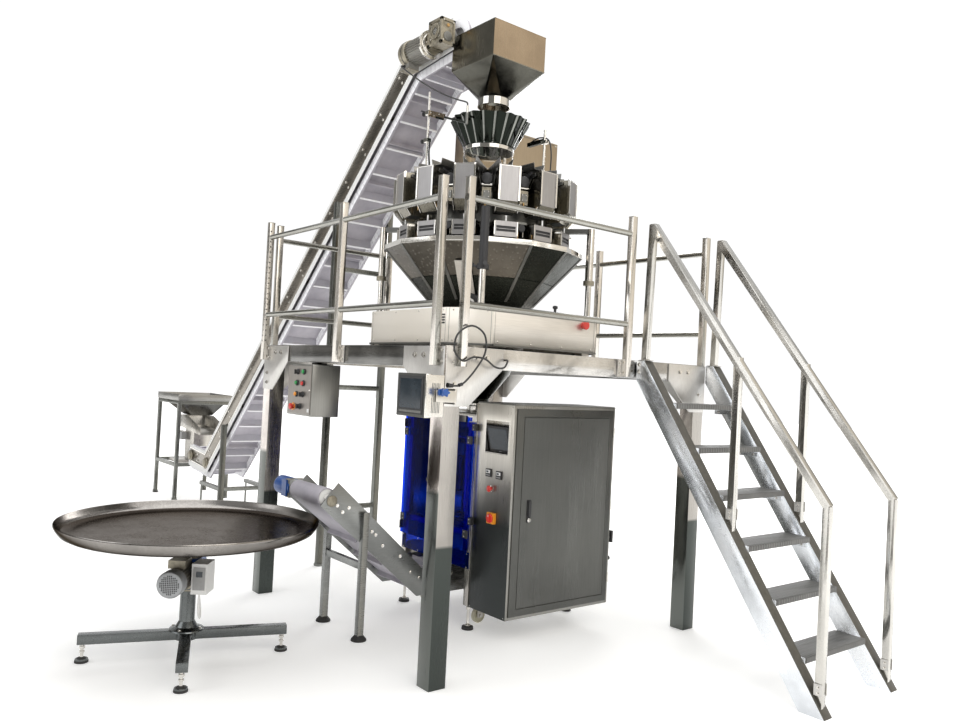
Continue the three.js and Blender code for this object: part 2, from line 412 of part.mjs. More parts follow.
// ------------------------------------------------------------------- controls
put('controls', 'control_box', join(
  cut(prism('y', [[-600, 1330], [-250, 1330], [-250, 1670], [-560, 1670], [-600, 1625]], -1160, -960), box(-588, -262, -1148, -959, 1342, 1610)),
  box(-470, -380, -1060, -990, 1668, DECK - BEAM - GAP),
), STEEL);
put('controls', 'control_box_stop', join(rod([-500, -1165.5, 1385], [-500, -1178, 1385], 12, 14), rod([-500, -1177, 1385], [-500, -1192, 1385], 22, 20)), RED);
put('controls', 'hmi_terminal', join(box(982, 1232, -1300, -1262, 1425, 1645), box(1000, 1214, -1263, -1185, 1445, 1625)), STEEL);
put('controls', 'hmi_bracket', join(
  box(970, 1244, -1124, -1112.5, 1495, 1575), box(1236, 1244, -1240, -1115, 1505, 1565), box(970, 978, -1240, -1115, 1505, 1565),
), STEEL);

// --------------------------------------------------------------------- cables
put('cables', 'hmi_cable', cable([
  [1222, -1156, 1592], [1220, -1120, 1590], [1204, -1050, 1602], [1198, -965, 1680], [1198, -905, 1775], [1196, -915, 1868], [1194, -1000, 1908], [1190, -1085, 1860],
  [1186, -1100, 1775], [1182, -1040, 1722], [1178, -965, 1745], [1172, -880, 1738], [1160, -800, 1700], [1156, -735, 1700], [1150, -706, 1738], [1123, -702, 1742],
], 5, 40), BLACK);
put('cables', 'motor_cable', cable([
  [-475, -446, 3875], [-475, -466, 3874], [-464, -479, 3864], [-420, -478, 3832], [-330, -455, 3764], [-200, -418, 3672], [-60, -375, 3590], [45, -336, 3540], [98, -310, 3520], [117, -301, 3508], [120, -300, 3491],
], 5, 30), BLACK);

const bounds = new THREE.Box3().setFromObject(line), mid = bounds.getCenter(V(0, 0, 0));
line.position.set(-mid.x, -mid.y, -bounds.min.z);
const top = new THREE.Group();
top.add(line);
export default top;
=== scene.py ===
"""Looks for the vertical form fill sealer line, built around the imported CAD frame. Metres, +Z up."""
import math, random
import bpy, bmesh
from mathutils import Matrix, Vector


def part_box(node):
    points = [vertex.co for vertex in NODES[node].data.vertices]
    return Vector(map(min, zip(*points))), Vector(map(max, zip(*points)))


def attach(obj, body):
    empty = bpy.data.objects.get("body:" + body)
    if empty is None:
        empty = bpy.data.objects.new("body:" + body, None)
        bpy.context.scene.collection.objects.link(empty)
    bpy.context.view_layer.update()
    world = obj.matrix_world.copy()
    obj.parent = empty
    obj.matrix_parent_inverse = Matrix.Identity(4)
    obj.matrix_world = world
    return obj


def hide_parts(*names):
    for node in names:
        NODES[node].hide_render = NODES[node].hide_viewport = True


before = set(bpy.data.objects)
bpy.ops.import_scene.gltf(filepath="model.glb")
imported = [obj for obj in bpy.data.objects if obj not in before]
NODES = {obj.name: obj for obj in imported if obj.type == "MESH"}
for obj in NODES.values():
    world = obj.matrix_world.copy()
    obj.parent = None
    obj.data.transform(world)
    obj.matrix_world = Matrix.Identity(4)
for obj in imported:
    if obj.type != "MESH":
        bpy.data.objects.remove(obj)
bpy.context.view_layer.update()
random.seed(11)
_lo, _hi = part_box("deck_frame")
OFF = Vector(((_lo[0] + _hi[0]) / 2, (_lo[1] + _hi[1]) / 2, 0.0))   # platform centre on the floor


def W(x, y, z):
    """A point given about the platform centre, in row metres."""
    return Vector((x, y, z)) + OFF


# ------------------------------------------------------------------ camera
CAM = (4.5565, -3.6183, 1.6339)
YAW, PITCH, ROLL, FPX = math.radians(141.4293), math.radians(1.0240), math.radians(2.9492), 816.709
f = Vector((math.cos(PITCH) * math.cos(YAW), math.cos(PITCH) * math.sin(YAW), math.sin(PITCH)))
r0 = f.cross(Vector((0, 0, 1))).normalized()
u0 = r0.cross(f)
r = r0 * math.cos(ROLL) + u0 * math.sin(ROLL)
u = -r0 * math.sin(ROLL) + u0 * math.cos(ROLL)
cam_data = bpy.data.cameras.new("camera")
cam_data.sensor_width = 36.0
cam_data.lens = FPX * 36.0 / 959.0
cam_data.clip_end = 100
cam = bpy.data.objects.new("camera", cam_data)
bpy.context.scene.collection.objects.link(cam)
c = W(*CAM)
cam.matrix_world = Matrix(((r.x, u.x, -f.x, c.x), (r.y, u.y, -f.y, c.y), (r.z, u.z, -f.z, c.z), (0, 0, 0, 1)))
bpy.context.scene.camera = cam


# --------------------------------------------------------------- materials
def tree(name):
    m = bpy.data.materials.new(name)
    m.use_nodes = True
    nt = m.node_tree
    return m, nt, nt.nodes["Principled BSDF"]


def link(nt, a, b):
    nt.links.new(a, b)


def coords(nt, scale=(1, 1, 1)):
    t = nt.nodes.new("ShaderNodeTexCoord")
    mp = nt.nodes.new("ShaderNodeMapping")
    mp.inputs["Scale"].default_value = scale
    link(nt, t.outputs["Object"], mp.inputs["Vector"])
    return mp.outputs["Vector"]


def noise(nt, vec, scale, detail=3.0, rough=0.55):
    n = nt.nodes.new("ShaderNodeTexNoise")
    n.inputs["Scale"].default_value = scale
    n.inputs["Detail"].default_value = detail
    n.inputs["Roughness"].default_value = rough
    link(nt, vec, n.inputs["Vector"])
    return n.outputs["Fac"]


def rng(nt, val, a, b, c, d):
    n = nt.nodes.new("ShaderNodeMapRange")
    for k, v in zip(("From Min", "From Max", "To Min", "To Max"), (a, b, c, d)):
        n.inputs[k].default_value = v
    link(nt, val, n.inputs["Value"])
    return n.outputs["Result"]


def add(nt, a, b, op="ADD"):
    n = nt.nodes.new("ShaderNodeMath")
    n.operation = op
    link(nt, a, n.inputs[0])
    if isinstance(b, (int, float)):
        n.inputs[1].default_value = b
    else:
        link(nt, b, n.inputs[1])
    return n.outputs[0]


def ramp(nt, fac, stops):
    n = nt.nodes.new("ShaderNodeValToRGB")
    e = n.color_ramp.elements
    while len(e) < len(stops):
        e.new(0.5)
    for el, (p, col) in zip(e, stops):
        el.position = p
        el.color = (*col, 1)
    link(nt, fac, n.inputs["Fac"])
    return n.outputs["Color"]


def mixc(nt, fac, a, b, mode="MIX"):
    n = nt.nodes.new("ShaderNodeMix")
    n.data_type = "RGBA"
    n.blend_type = mode
    if isinstance(fac, (int, float)):
        n.inputs["Factor"].default_value = fac
    else:
        link(nt, fac, n.inputs["Factor"])
    for s, v in ((6, a), (7, b)):
        if isinstance(v, tuple):
            n.inputs[s].default_value = (*v, 1)
        else:
            link(nt, v, n.inputs[s])
    return n.outputs[2]


def bump(nt, bsdf, height, strength, dist):
    n = nt.nodes.new("ShaderNodeBump")
    n.inputs["Strength"].default_value = strength
    n.inputs["Distance"].default_value = dist
    link(nt, height, n.inputs["Height"])
    link(nt, n.outputs["Normal"], bsdf.inputs["Normal"])


def shade(col, k):
    return tuple(min(1.0, x * k) for x in col)


def steel(name, col=(0.55, 0.53, 0.49), lo=0.22, hi=0.40, grain=(1, 1, 1), gscale=260.0, smudge=0.16, bumpy=0.12, floor_reflection_band=None, blotch=2.3):
    """Brushed stainless: fine grain along one axis, handling smudges, slight tone drift."""
    m, nt, b = tree(name)
    g = noise(nt, coords(nt, grain), gscale, 2.0, 0.7)
    s = noise(nt, coords(nt), blotch, 4.0, 0.6)
    w = noise(nt, coords(nt, (grain[0] * 6, grain[1] * 6, grain[2] * 6)), 1.6, 2.0, 0.5)
    base = ramp(nt, s, [(0.28, shade(col, 1 - smudge * 1.5)), (0.5, col), (0.74, shade(col, 1 + smudge))])
    base = mixc(nt, rng(nt, g, 0.35, 0.7, 0.0, 0.35), base, shade(col, 0.72))
    if floor_reflection_band:   # painted reflection of the dark floor: the lower stretch darker and greener
        t = nt.nodes.new("ShaderNodeTexCoord")
        sep = nt.nodes.new("ShaderNodeSeparateXYZ")
        link(nt, t.outputs["Object"], sep.inputs[0])
        base = mixc(nt, rng(nt, sep.outputs["Z"], floor_reflection_band[0], floor_reflection_band[1], 0.0, 1.0), floor_reflection_band[2], base)
    link(nt, base, b.inputs["Base Color"])
    b.inputs["Metallic"].default_value = 1.0
    r1 = rng(nt, g, 0.3, 0.72, lo, hi)
    r2 = rng(nt, s, 0.35, 0.75, -0.05, 0.10)
    link(nt, add(nt, add(nt, r1, r2), rng(nt, w, 0.4, 0.6, -0.02, 0.03)), b.inputs["Roughness"])
    bump(nt, b, g, bumpy, 0.0004)
    return m


def plain(name, col, rough=0.45, metal=0.0, var=0.10, scale=40.0, bumpy=0.05, spec=0.5, coat=0.0):
    m, nt, b = tree(name)
    v = coords(nt)
    s = noise(nt, v, scale, 4.0, 0.6)
    d = noise(nt, v, 3.0, 3.0, 0.6)
    base = ramp(nt, s, [(0.3, shade(col, 1 - var)), (0.7, shade(col, 1 + var * 0.5))])
    base = mixc(nt, rng(nt, d, 0.45, 0.75, 0.0, 0.35), base, shade(col, 0.82))
    link(nt, base, b.inputs["Base Color"])
    b.inputs["Metallic"].default_value = metal
    b.inputs["Specular IOR Level"].default_value = spec
    b.inputs["Coat Weight"].default_value = coat
    link(nt, rng(nt, s, 0.3, 0.7, rough - 0.06, rough + 0.08), b.inputs["Roughness"])
    bump(nt, b, s, bumpy, 0.0006)
    return m


def dimpled(name, col=(0.140, 0.128, 0.110), scale=34.0):
    """Embossed anti-stick sheet: raised dashes in staggered rows."""
    m, nt, b = tree(name)
    v = nt.nodes.new("ShaderNodeTexVoronoi")
    v.feature = "F1"
    v.inputs["Scale"].default_value = scale
    v.inputs["Randomness"].default_value = 0.55
    link(nt, coords(nt, (1, 1, 1.25)), v.inputs["Vector"])
    spot = rng(nt, v.outputs["Distance"], 0.12, 0.36, 1.0, 0.0)
    s = noise(nt, coords(nt), 2.6, 4.0, 0.6)
    base = ramp(nt, s, [(0.3, shade(col, 0.7)), (0.7, shade(col, 1.35))])
    base = mixc(nt, rng(nt, spot, 0.2, 1.0, 0.0, 0.6), base, shade(col, 2.1))
    link(nt, base, b.inputs["Base Color"])
    b.inputs["Metallic"].default_value = 1.0
    link(nt, rng(nt, s, 0.3, 0.7, 0.26, 0.42), b.inputs["Roughness"])
    bump(nt, b, spot, 0.7, 0.0022)
    return m


def treadplate(name, col=(0.50, 0.49, 0.46)):
    """Five-bar style anti-slip sheet: crossed lozenges."""
    m, nt, b = tree(name)
    out = []
    for ang in (45, -45):
        t = nt.nodes.new("ShaderNodeTexCoord")
        mp = nt.nodes.new("ShaderNodeMapping")
        mp.inputs["Rotation"].default_value = (0, 0, math.radians(ang))
        mp.inputs["Scale"].default_value = (1.0, 2.6, 0.001)
        link(nt, t.outputs["Object"], mp.inputs["Vector"])
        v = nt.nodes.new("ShaderNodeTexVoronoi")
        v.inputs["Scale"].default_value = 22.0
        v.inputs["Randomness"].default_value = 0.0
        link(nt, mp.outputs["Vector"], v.inputs["Vector"])
        out.append(rng(nt, v.outputs["Distance"], 0.16, 0.34, 1.0, 0.0))
    h = add(nt, out[0], out[1], "MAXIMUM")
    s = noise(nt, coords(nt), 5.0, 4.0, 0.65)
    base = ramp(nt, s, [(0.3, shade(col, 0.62)), (0.7, shade(col, 1.1))])
    base = mixc(nt, rng(nt, h, 0.3, 1.0, 0.0, 0.6), base, shade(col, 1.55))
    link(nt, base, b.inputs["Base Color"])
    b.inputs["Metallic"].default_value = 0.0
    b.inputs["Specular IOR Level"].default_value = 0.22
    link(nt, rng(nt, s, 0.3, 0.7, 0.34, 0.5), b.inputs["Roughness"])
    bump(nt, b, h, 0.8, 0.002)
    return m


def belt_mat(name):
    m, nt, b = tree(name)
    s = noise(nt, coords(nt), 6.0, 4.0, 0.6)
    g = noise(nt, coords(nt), 420.0, 2.0, 0.5)
    base = ramp(nt, s, [(0.3, (0.33, 0.315, 0.36)), (0.5, (0.40, 0.38, 0.425)), (0.72, (0.47, 0.45, 0.49))])
    link(nt, base, b.inputs["Base Color"])
    link(nt, rng(nt, s, 0.3, 0.7, 0.42, 0.58), b.inputs["Roughness"])
    b.inputs["Subsurface Weight"].default_value = 0.0
    bump(nt, b, g, 0.08, 0.0005)
    return m


def glassy(name, col, rough=0.04, trans=1.0, ior=1.45):
    m, nt, b = tree(name)
    s = noise(nt, coords(nt), 8.0, 3.0, 0.6)
    link(nt, ramp(nt, s, [(0.3, shade(col, 0.8)), (0.7, col)]), b.inputs["Base Color"])
    link(nt, rng(nt, s, 0.3, 0.8, rough, rough + 0.06), b.inputs["Roughness"])
    b.inputs["Transmission Weight"].default_value = trans
    b.inputs["IOR"].default_value = ior
    return m


WARM = (0.56, 0.535, 0.49)
M = {
    "sheet_v": steel("stainless_sheet_vertical_grain", WARM, 0.22, 0.36, (1, 1, 0.02)),
    "sheet_h": steel("stainless_sheet_level_grain", (0.32, 0.315, 0.30), 0.24, 0.40, (0.02, 0.02, 1)),
    "cabinet": steel("stainless_cabinet_grain", (0.30, 0.295, 0.275), 0.27, 0.42, (1, 1, 0.015), smudge=0.12),
    "cab_door": steel("stainless_door_grain", (0.118, 0.119, 0.112), 0.28, 0.42, (1, 1, 0.015), smudge=0.12, blotch=1.6),
    # leg and leg_y are one steel: leg_y is a much lighter copy for the Y-facing sides, painted light; both darken low
    # down with a painted floor reflection
    "leg": steel("stainless_leg_tube", (0.36, 0.34, 0.315), 0.16, 0.28, (1, 1, 0.02), smudge=0.16, floor_reflection_band=(0.735, 0.752, (0.062, 0.070, 0.065))),
    "leg_y": steel("stainless_leg_lit_side", (0.78, 0.72, 0.68), 0.14, 0.24, (1, 1, 0.02), smudge=0.30, floor_reflection_band=(1.02, 1.05, (0.14, 0.15, 0.14))),
    # beam_x is a much lighter copy of the beam steel for the +X faces: painted light on that side
    "beam_x": steel("stainless_beam_lit_end", (0.57, 0.555, 0.53), 0.12, 0.24, (0.03, 0.03, 1), smudge=0.30, blotch=4.2),
    "el_side": steel("elevator_side_sheet", (0.25, 0.225, 0.19), 0.2, 0.34, (0.03, 0.03, 1), smudge=0.2),
    "take": steel("conveyor_side_sheet", (0.25, 0.256, 0.25), 0.24, 0.38, (0.05, 0.05, 1), smudge=0.14),
    "beam": steel("stainless_beam_tube", (0.18, 0.178, 0.17), 0.12, 0.26, (0.03, 0.03, 1), smudge=0.42, blotch=2.6),
    "plate": steel("gusset_plate_satin", (0.62, 0.605, 0.58), 0.30, 0.44, (1, 1, 0.1), smudge=0.10),
    "post": steel("rail_post_tube", (0.69, 0.655, 0.605), 0.16, 0.28, (1, 1, 0.02), smudge=0.10),
    "rail": steel("rail_pipe", (0.36, 0.355, 0.325), 0.16, 0.28, (0.05, 0.05, 1), smudge=0.15),
    # stair_top and stair are shaded and lit copies of the stringer steel: dark for faces pointing up or +X (painted
    # shade), very light for the sides (painted light)
    "stair_top": plain("stair_stringer_top_painted_shade", (0.10, 0.094, 0.08), 0.42, 0.3, 0.3, 30, 0.2),
    "stair": steel("stair_stringer_lit_side", (0.84, 0.87, 0.91), 0.18, 0.32, (1, 1, 1), gscale=160, smudge=0.22),
    "hand": steel("handrail_tube", (0.60, 0.585, 0.55), 0.12, 0.24, (1, 1, 1), gscale=180, smudge=0.12),
    "tread": treadplate("stair_tread_plate", (0.15, 0.15, 0.145)),
    "deck": treadplate("deck_tread_plate", (0.46, 0.45, 0.42)),
    "bright": steel("polished_stainless", (0.72, 0.70, 0.66), 0.06, 0.16, (1, 1, 1), gscale=120, smudge=0.08, bumpy=0.04),
    "hopper": steel("hopper_sheet", (0.25, 0.235, 0.195), 0.16, 0.28, (1, 1, 0.03), smudge=0.16, blotch=1.9),
    "bucket": steel("bucket_sheet", (0.37, 0.36, 0.36), 0.36, 0.48, (1, 1, 0.03), smudge=0.08),
    "dark": steel("dull_machined_steel", (0.20, 0.20, 0.19), 0.34, 0.5, (1, 1, 1), gscale=90, smudge=0.25),
    "cone": dimpled("embossed_chute_sheet"),
    "cone_flat": steel("chute_sheet", (0.034, 0.038, 0.032), 0.2, 0.34, (1, 1, 1), gscale=90),
    # disc_rim_highlight: much lighter copy of the dish steel for the rolled rim and inner wall, a painted highlight
    "disc_rim_highlight": steel("spun_disc_rim", (0.27, 0.255, 0.24), 0.14, 0.24, (1, 1, 1), gscale=70, smudge=0.3, blotch=1.6, bumpy=0.04),
    "disc": steel("spun_disc_sheet", (0.060, 0.050, 0.043), 0.16, 0.28, (1, 1, 1), gscale=70, smudge=0.25, blotch=1.3, bumpy=0.06),
    "housing": steel("beige_housing_sheet", (0.37, 0.30, 0.215), 0.30, 0.42, (1, 1, 0.05), smudge=0.06),
    "table_leg": steel("table_leg_tube", (0.15, 0.16, 0.16), 0.2, 0.34, (1, 1, 1), gscale=150, smudge=0.2),
    "belt": belt_mat("white_belt"),
    "blue": glassy("blue_guard_pane", (0.0018, 0.038, 0.60), 0.04, 0.97, 1.08),
    "clear": glassy("clear_acrylic_tube", (0.95, 0.93, 0.88), 0.03, 1.0, 1.25),
    "screen": plain("dark_screen_glass", (0.018, 0.028, 0.038), 0.10, 0.0, 0.3, 6.0, 0.0, 0.5),
    "black": plain("black_moulded_plastic", (0.022, 0.022, 0.024), 0.5, 0.0, 0.3, 160),
    "rubber": plain("black_rubber", (0.028, 0.027, 0.026), 0.68, 0.0, 0.3, 120, 0.12),
    "cable": plain("black_cable_jacket", (0.02, 0.02, 0.02), 0.42, 0.0, 0.2, 260, 0.03),
    "red": plain("red_plastic", (0.62, 0.03, 0.02), 0.34, 0.0, 0.10, 90, 0.02, coat=0.3),
    "yellow": plain("yellow_plastic", (0.80, 0.30, 0.02), 0.38, 0.0, 0.08, 90, 0.02, coat=0.2),
    "green": plain("green_plastic", (0.02, 0.30, 0.07), 0.36, 0.0, 0.10, 90, 0.02, coat=0.3),
    "white": plain("white_plastic", (0.74, 0.74, 0.73), 0.4, 0.0, 0.06, 60),
    "grey": plain("grey_plastic", (0.34, 0.34, 0.34), 0.5, 0.0, 0.10, 80),
    "cream": plain("cream_nylon", (0.58, 0.55, 0.42), 0.45, 0.0, 0.10, 60),
    "brass": plain("zinc_yellow_pad", (0.52, 0.44, 0.26), 0.4, 0.8, 0.15, 60),
    "cast": plain("grey_cast_alloy", (0.33, 0.30, 0.235), 0.42, 0.8, 0.45, 38, 0.45),
    "motor": plain("grey_motor_paint", (0.26, 0.25, 0.225), 0.4, 0.25, 0.15, 90, 0.08),
    "bluepaint": plain("blue_machine_paint", (0.012, 0.075, 0.30), 0.36, 0.1, 0.2, 60, 0.06, coat=0.25),
    # feed_underside_shade: darker copy of the sheet for the feeder's downward faces, painted shade
    "feed_underside_shade": steel("feed_hopper_painted_underside_shade", (0.13, 0.13, 0.125), 0.2, 0.34, (1, 1, 0.2), smudge=0.3, blotch=1.8),
    "alu": plain("grey_alloy_cover", (0.34, 0.35, 0.36), 0.4, 0.6, 0.1, 60, 0.05),
    "stand": steel("stand_leg_tube", (0.20, 0.205, 0.19), 0.2, 0.34, (1, 1, 0.03), smudge=0.2),
    # hopper_taper_shade: darker copy of the hopper sheet for the head hopper's taper, painted shade
    "hopper_taper_shade": steel("hopper_taper_painted_shade", (0.115, 0.113, 0.097), 0.14, 0.26, (1, 1, 0.2), smudge=0.3, blotch=2.6),
    "cbox_plate": steel("control_box_front", (0.36, 0.335, 0.31), 0.3, 0.42, (1, 1, 0.02), smudge=0.08),
    "cleat": plain("belt_cleat", (0.42, 0.41, 0.46), 0.5, 0.0, 0.05, 30, 0.03),
    "belt_edge_white_lit": plain("belt_edge_white_and_painted_light", (0.92, 0.92, 0.95), 0.5, 0.0, 0.04, 30, 0.03),
    "panel_y": plain("satin_panel_lit_side", (0.86, 0.81, 0.73), 0.36, 0.30, 0.05, 3.0, 0.02),
    "film": plain("wound_film", (0.72, 0.73, 0.74), 0.22, 0.0, 0.05, 200, 0.03, coat=0.4),
    "paper": plain("grey_card_core", (0.40, 0.33, 0.24), 0.7, 0.0, 0.12, 120),
    "copper": plain("bronze_bush", (0.50, 0.32, 0.14), 0.35, 0.9, 0.2, 90),
    "flute": steel("mirror_lit_flute", (0.20, 0.205, 0.19), 0.08, 0.18, (1, 1, 1), gscale=90, smudge=0.3, bumpy=0.03, blotch=7.0),
    "mirror": steel("flute_painted_dark_reflection", (0.014, 0.017, 0.014), 0.06, 0.13, (1, 1, 1), gscale=90, smudge=0.25, bumpy=0.03),
    # cab_front: a bright window reflection painted into the colour, fading below 1.36 m into a painted dark floor
    # reflection
    "cab_front": steel("cabinet_front_painted_reflection", (0.93, 0.89, 0.81), 0.30, 0.42, (1, 1, 0.015), smudge=0.06, floor_reflection_band=(0.72, 1.36, (0.060, 0.066, 0.066))),
    # tan_and_lit_sheet: the lighter, lit-side copy of the head hopper sheet (painted light), also the sensor arm's tan
    # colour
    "tan_and_lit_sheet": steel("warm_sheet_and_lit_hopper_side", (0.40, 0.315, 0.225), 0.18, 0.30, (1, 1, 0.03), smudge=0.22, blotch=1.6),
    "led_red": plain("red_digits_window", (0.24, 0.05, 0.05), 0.2, 0.0, 0.4, 300),
}
for n_, k_ in (("disc", 0.60), ("disc_rim_highlight", 0.15), ("feed_underside_shade", 0.3)):      # dims the glancing reflection
    for x_ in M[n_].node_tree.nodes:
        if x_.type == "BSDF_PRINCIPLED":
            x_.inputs["Specular Tint"].default_value = (k_, k_ * 0.96, k_ * 0.92, 1.0)


# ------------------------------------------------------------ mesh builder
class Part:
    """Collects shapes about the platform centre (mm) into one piece."""

    def __init__(s, name, body="root"):
        s.name, s.body, s.bm, s.mats = name, body, bmesh.new(), []

    def idx(s, mat):
        if mat not in s.mats:
            s.mats.append(mat)
        return s.mats.index(mat)

    def raw(s, verts, faces, mat, mtx=None):
        k = s.idx(mat)
        vs = [s.bm.verts.new(mtx @ Vector(v) if mtx is not None else v) for v in verts]
        for fc in faces:
            try:
                s.bm.faces.new([vs[i] for i in fc]).material_index = k
            except ValueError:
                pass
        return s

    def box(s, lo, hi, mat, mtx=None):
        (x0, y0, z0), (x1, y1, z1) = lo, hi
        v = [(x0, y0, z0), (x1, y0, z0), (x1, y1, z0), (x0, y1, z0), (x0, y0, z1), (x1, y0, z1), (x1, y1, z1), (x0, y1, z1)]
        fcs = [(0, 3, 2, 1), (4, 5, 6, 7), (0, 1, 5, 4), (1, 2, 6, 5), (2, 3, 7, 6), (3, 0, 4, 7)]
        return s.raw(v, fcs, mat, mtx)

    def revolve(s, prof, mat, at=(0, 0, 0), axis=(0, 0, 1), n=48, mtx=None, closed=True, phase=0.0):
        """Turns [radius, height] pairs about an axis through at."""
        q = Vector((0, 0, 1)).rotation_difference(Vector(axis).normalized()).to_matrix().to_4x4()
        T = Matrix.Translation(Vector(at)) @ q
        if mtx is not None:
            T = mtx @ T
        k, bm = s.idx(mat), s.bm
        rows = []
        for (rr, zz) in prof:
            if rr < 1e-6:
                rows.append([bm.verts.new(T @ Vector((0, 0, zz)))])
            else:
                rows.append([bm.verts.new(T @ Vector((rr * math.cos(phase + 2 * math.pi * i / n), rr * math.sin(phase + 2 * math.pi * i / n), zz))) for i in range(n)])
        pairs = list(zip(rows, rows[1:])) + ([(rows[-1], rows[0])] if closed else [])
        for a, b in pairs:
            for i in range(n):
                j = (i + 1) % n
                vs = [a[i % len(a)], a[j % len(a)], b[j % len(b)], b[i % len(b)]]
                u_ = []
                for v in vs:
                    if v not in u_:
                        u_.append(v)
                if len(u_) > 2:
                    try:
                        bm.faces.new(u_).material_index = k
                    except ValueError:
                        pass
        return s

    def rod(s, a, b, r, mat, n=24, r2=None, mtx=None):
        a, b = Vector(a), Vector(b)
        L = (b - a).length
        r2 = r if r2 is None else r2
        return s.revolve([(0, 0), (r, 0), (r2, L), (0, L)], mat, a, b - a, n, mtx, closed=False)

    def tube(s, a, b, r, t, mat, n=24, mtx=None):
        a, b = Vector(a), Vector(b)
        L = (b - a).length
        return s.revolve([(r, 0), (r, L), (r - t, L), (r - t, 0)], mat, a, b - a, n, mtx)

    def prism(s, axis, pts, a, b, mat, mtx=None):
        n = len(pts)
        pl = {"x": lambda p, t: (t, p[0], p[1]), "y": lambda p, t: (p[0], t, p[1]), "z": lambda p, t: (p[0], p[1], t)}[axis]
        v = [pl(p, a) for p in pts] + [pl(p, b) for p in pts]
        fcs = [tuple(range(n)), tuple(range(2 * n - 1, n - 1, -1))] + [(i, n + i, n + (i + 1) % n, (i + 1) % n) for i in range(n)]
        return s.raw(v, fcs, mat, mtx)

    def ring(s, axis, outer, inner, a, b, mat):
        """Closed band between two outlines with the same number of points."""
        n = len(outer)
        pl = {"x": lambda p, t: (t, p[0], p[1]), "y": lambda p, t: (p[0], t, p[1]), "z": lambda p, t: (p[0], p[1], t)}[axis]
        v = [pl(p, t) for t in (a, b) for o in (outer, inner) for p in o]
        fcs = []
        for i in range(n):
            j = (i + 1) % n
            fcs += [(i, j, n + j, n + i), (2 * n + i, 3 * n + i, 3 * n + j, 2 * n + j), (i, 2 * n + i, 2 * n + j, j), (n + i, n + j, 3 * n + j, 3 * n + i)]
        return s.raw(v, fcs, mat)

    def sweep(s, pts, r, mat, n=10, mtx=None, smooth=6):
        """Round tube along a smooth line through the points."""
        P = [Vector(p) for p in pts]
        line = []
        for i in range(len(P) - 1):
            p0, p1, p2, p3 = P[max(i - 1, 0)], P[i], P[i + 1], P[min(i + 2, len(P) - 1)]
            for k in range(smooth):
                t = k / smooth
                line.append(0.5 * ((2 * p1) + (p2 - p0) * t + (2 * p0 - 5 * p1 + 4 * p2 - p3) * t * t + (3 * p1 - p0 - 3 * p2 + p3) * t ** 3))
        line.append(P[-1])
        k, bm, rows = s.idx(mat), s.bm, []
        up = None
        for i, p in enumerate(line):
            d = (line[min(i + 1, len(line) - 1)] - line[max(i - 1, 0)]).normalized()
            if up is None:
                up = d.orthogonal().normalized()
            up = (up - d * up.dot(d)).normalized()
            side = d.cross(up)
            row = [p + (up * math.cos(2 * math.pi * j / n) + side * math.sin(2 * math.pi * j / n)) * r for j in range(n)]
            rows.append([bm.verts.new(mtx @ q if mtx is not None else q) for q in row])
        for a, b in zip(rows, rows[1:]):
            for j in range(n):
                bm.faces.new((a[j], a[(j + 1) % n], b[(j + 1) % n], b[j])).material_index = k
        bm.faces.new(rows[0][::-1]).material_index = k
        bm.faces.new(rows[-1]).material_index = k
        return s

    def bolt(s, at, axis, r=9, h=7, mat="bright", washer=True):
        at, ax = Vector(at), Vector(axis).normalized()
        if washer:
            s.rod(at, at + ax * 2, r * 1.45, mat, 20)
        s.rod(at + ax * 1.8, at + ax * (h + 2), r, mat, 6)
        return s

    def screw(s, at, axis, r=4, mat="bright"):
        at, ax = Vector(at), Vector(axis).normalized()
        s.revolve([(0, 0), (r, 0), (r * 0.9, r * 0.35), (r * 0.45, r * 0.6), (0, r * 0.55)], mat, at, ax, 14, closed=False)
        return s

    def done(s, bevel=0.0015, seg=2, replaces=(), angle=32):
        me = bpy.data.meshes.new(s.name)
        bmesh.ops.recalc_face_normals(s.bm, faces=s.bm.faces)
        s.bm.to_mesh(me)
        s.bm.free()
        me.transform(Matrix.Translation(OFF) @ Matrix.Scale(0.001, 4))
        for k in s.mats:
            me.materials.append(M[k])
        for p in me.polygons:
            p.use_smooth = True
        me.set_sharp_from_angle(angle=math.radians(angle))
        o = bpy.data.objects.new(s.name, me)
        bpy.context.scene.collection.objects.link(o)
        if bevel:
            b = o.modifiers.new("bevel", "BEVEL")
            b.width, b.segments, b.limit_method, b.angle_limit = bevel, seg, "ANGLE", math.radians(40)
            b.use_clamp_overlap = True
            b.harden_normals = False
        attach(o, s.body)
        if replaces:
            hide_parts(*replaces)
        return o


def dress(node, mat, bevel=0.002, angle=32):
    """A better material and softened edges on a CAD node that stays."""
    o = NODES[node]
    o.modifiers.clear()
    me = o.data
    me.materials.clear()
    me.materials.append(M[mat])
    for p in me.polygons:
        p.use_smooth = True
        p.material_index = 0
    w = o.modifiers.new("weld", "WELD")
    w.merge_threshold = 0.00005
    if bevel:
        b = o.modifiers.new("bevel", "BEVEL")
        b.width, b.segments, b.limit_method, b.angle_limit = bevel, 2, "ANGLE", math.radians(40)
        b.harden_normals = False
    return o


# --PARTS--
# DEFAULTS
for n_ in NODES:
    dress(n_, "sheet_v")
HX, HY = 1120, 1105


def paint(node, rules, base):
    """CAD node keeps its mesh; faces take the first material whose rule fits centre (mm, platform frame) and normal."""
    o = dress(node, base)
    me = o.data
    inv = o.matrix_world
    for k, (mat, fn) in enumerate(rules):
        me.materials.append(M[mat])
    for p in me.polygons:
        q = (inv @ p.center - OFF) * 1000
        n = (inv.to_3x3() @ p.normal).normalized()
        for k, (mat, fn) in enumerate(rules):
            if fn(q, n):
                p.material_index = k + 1
                break
    return o


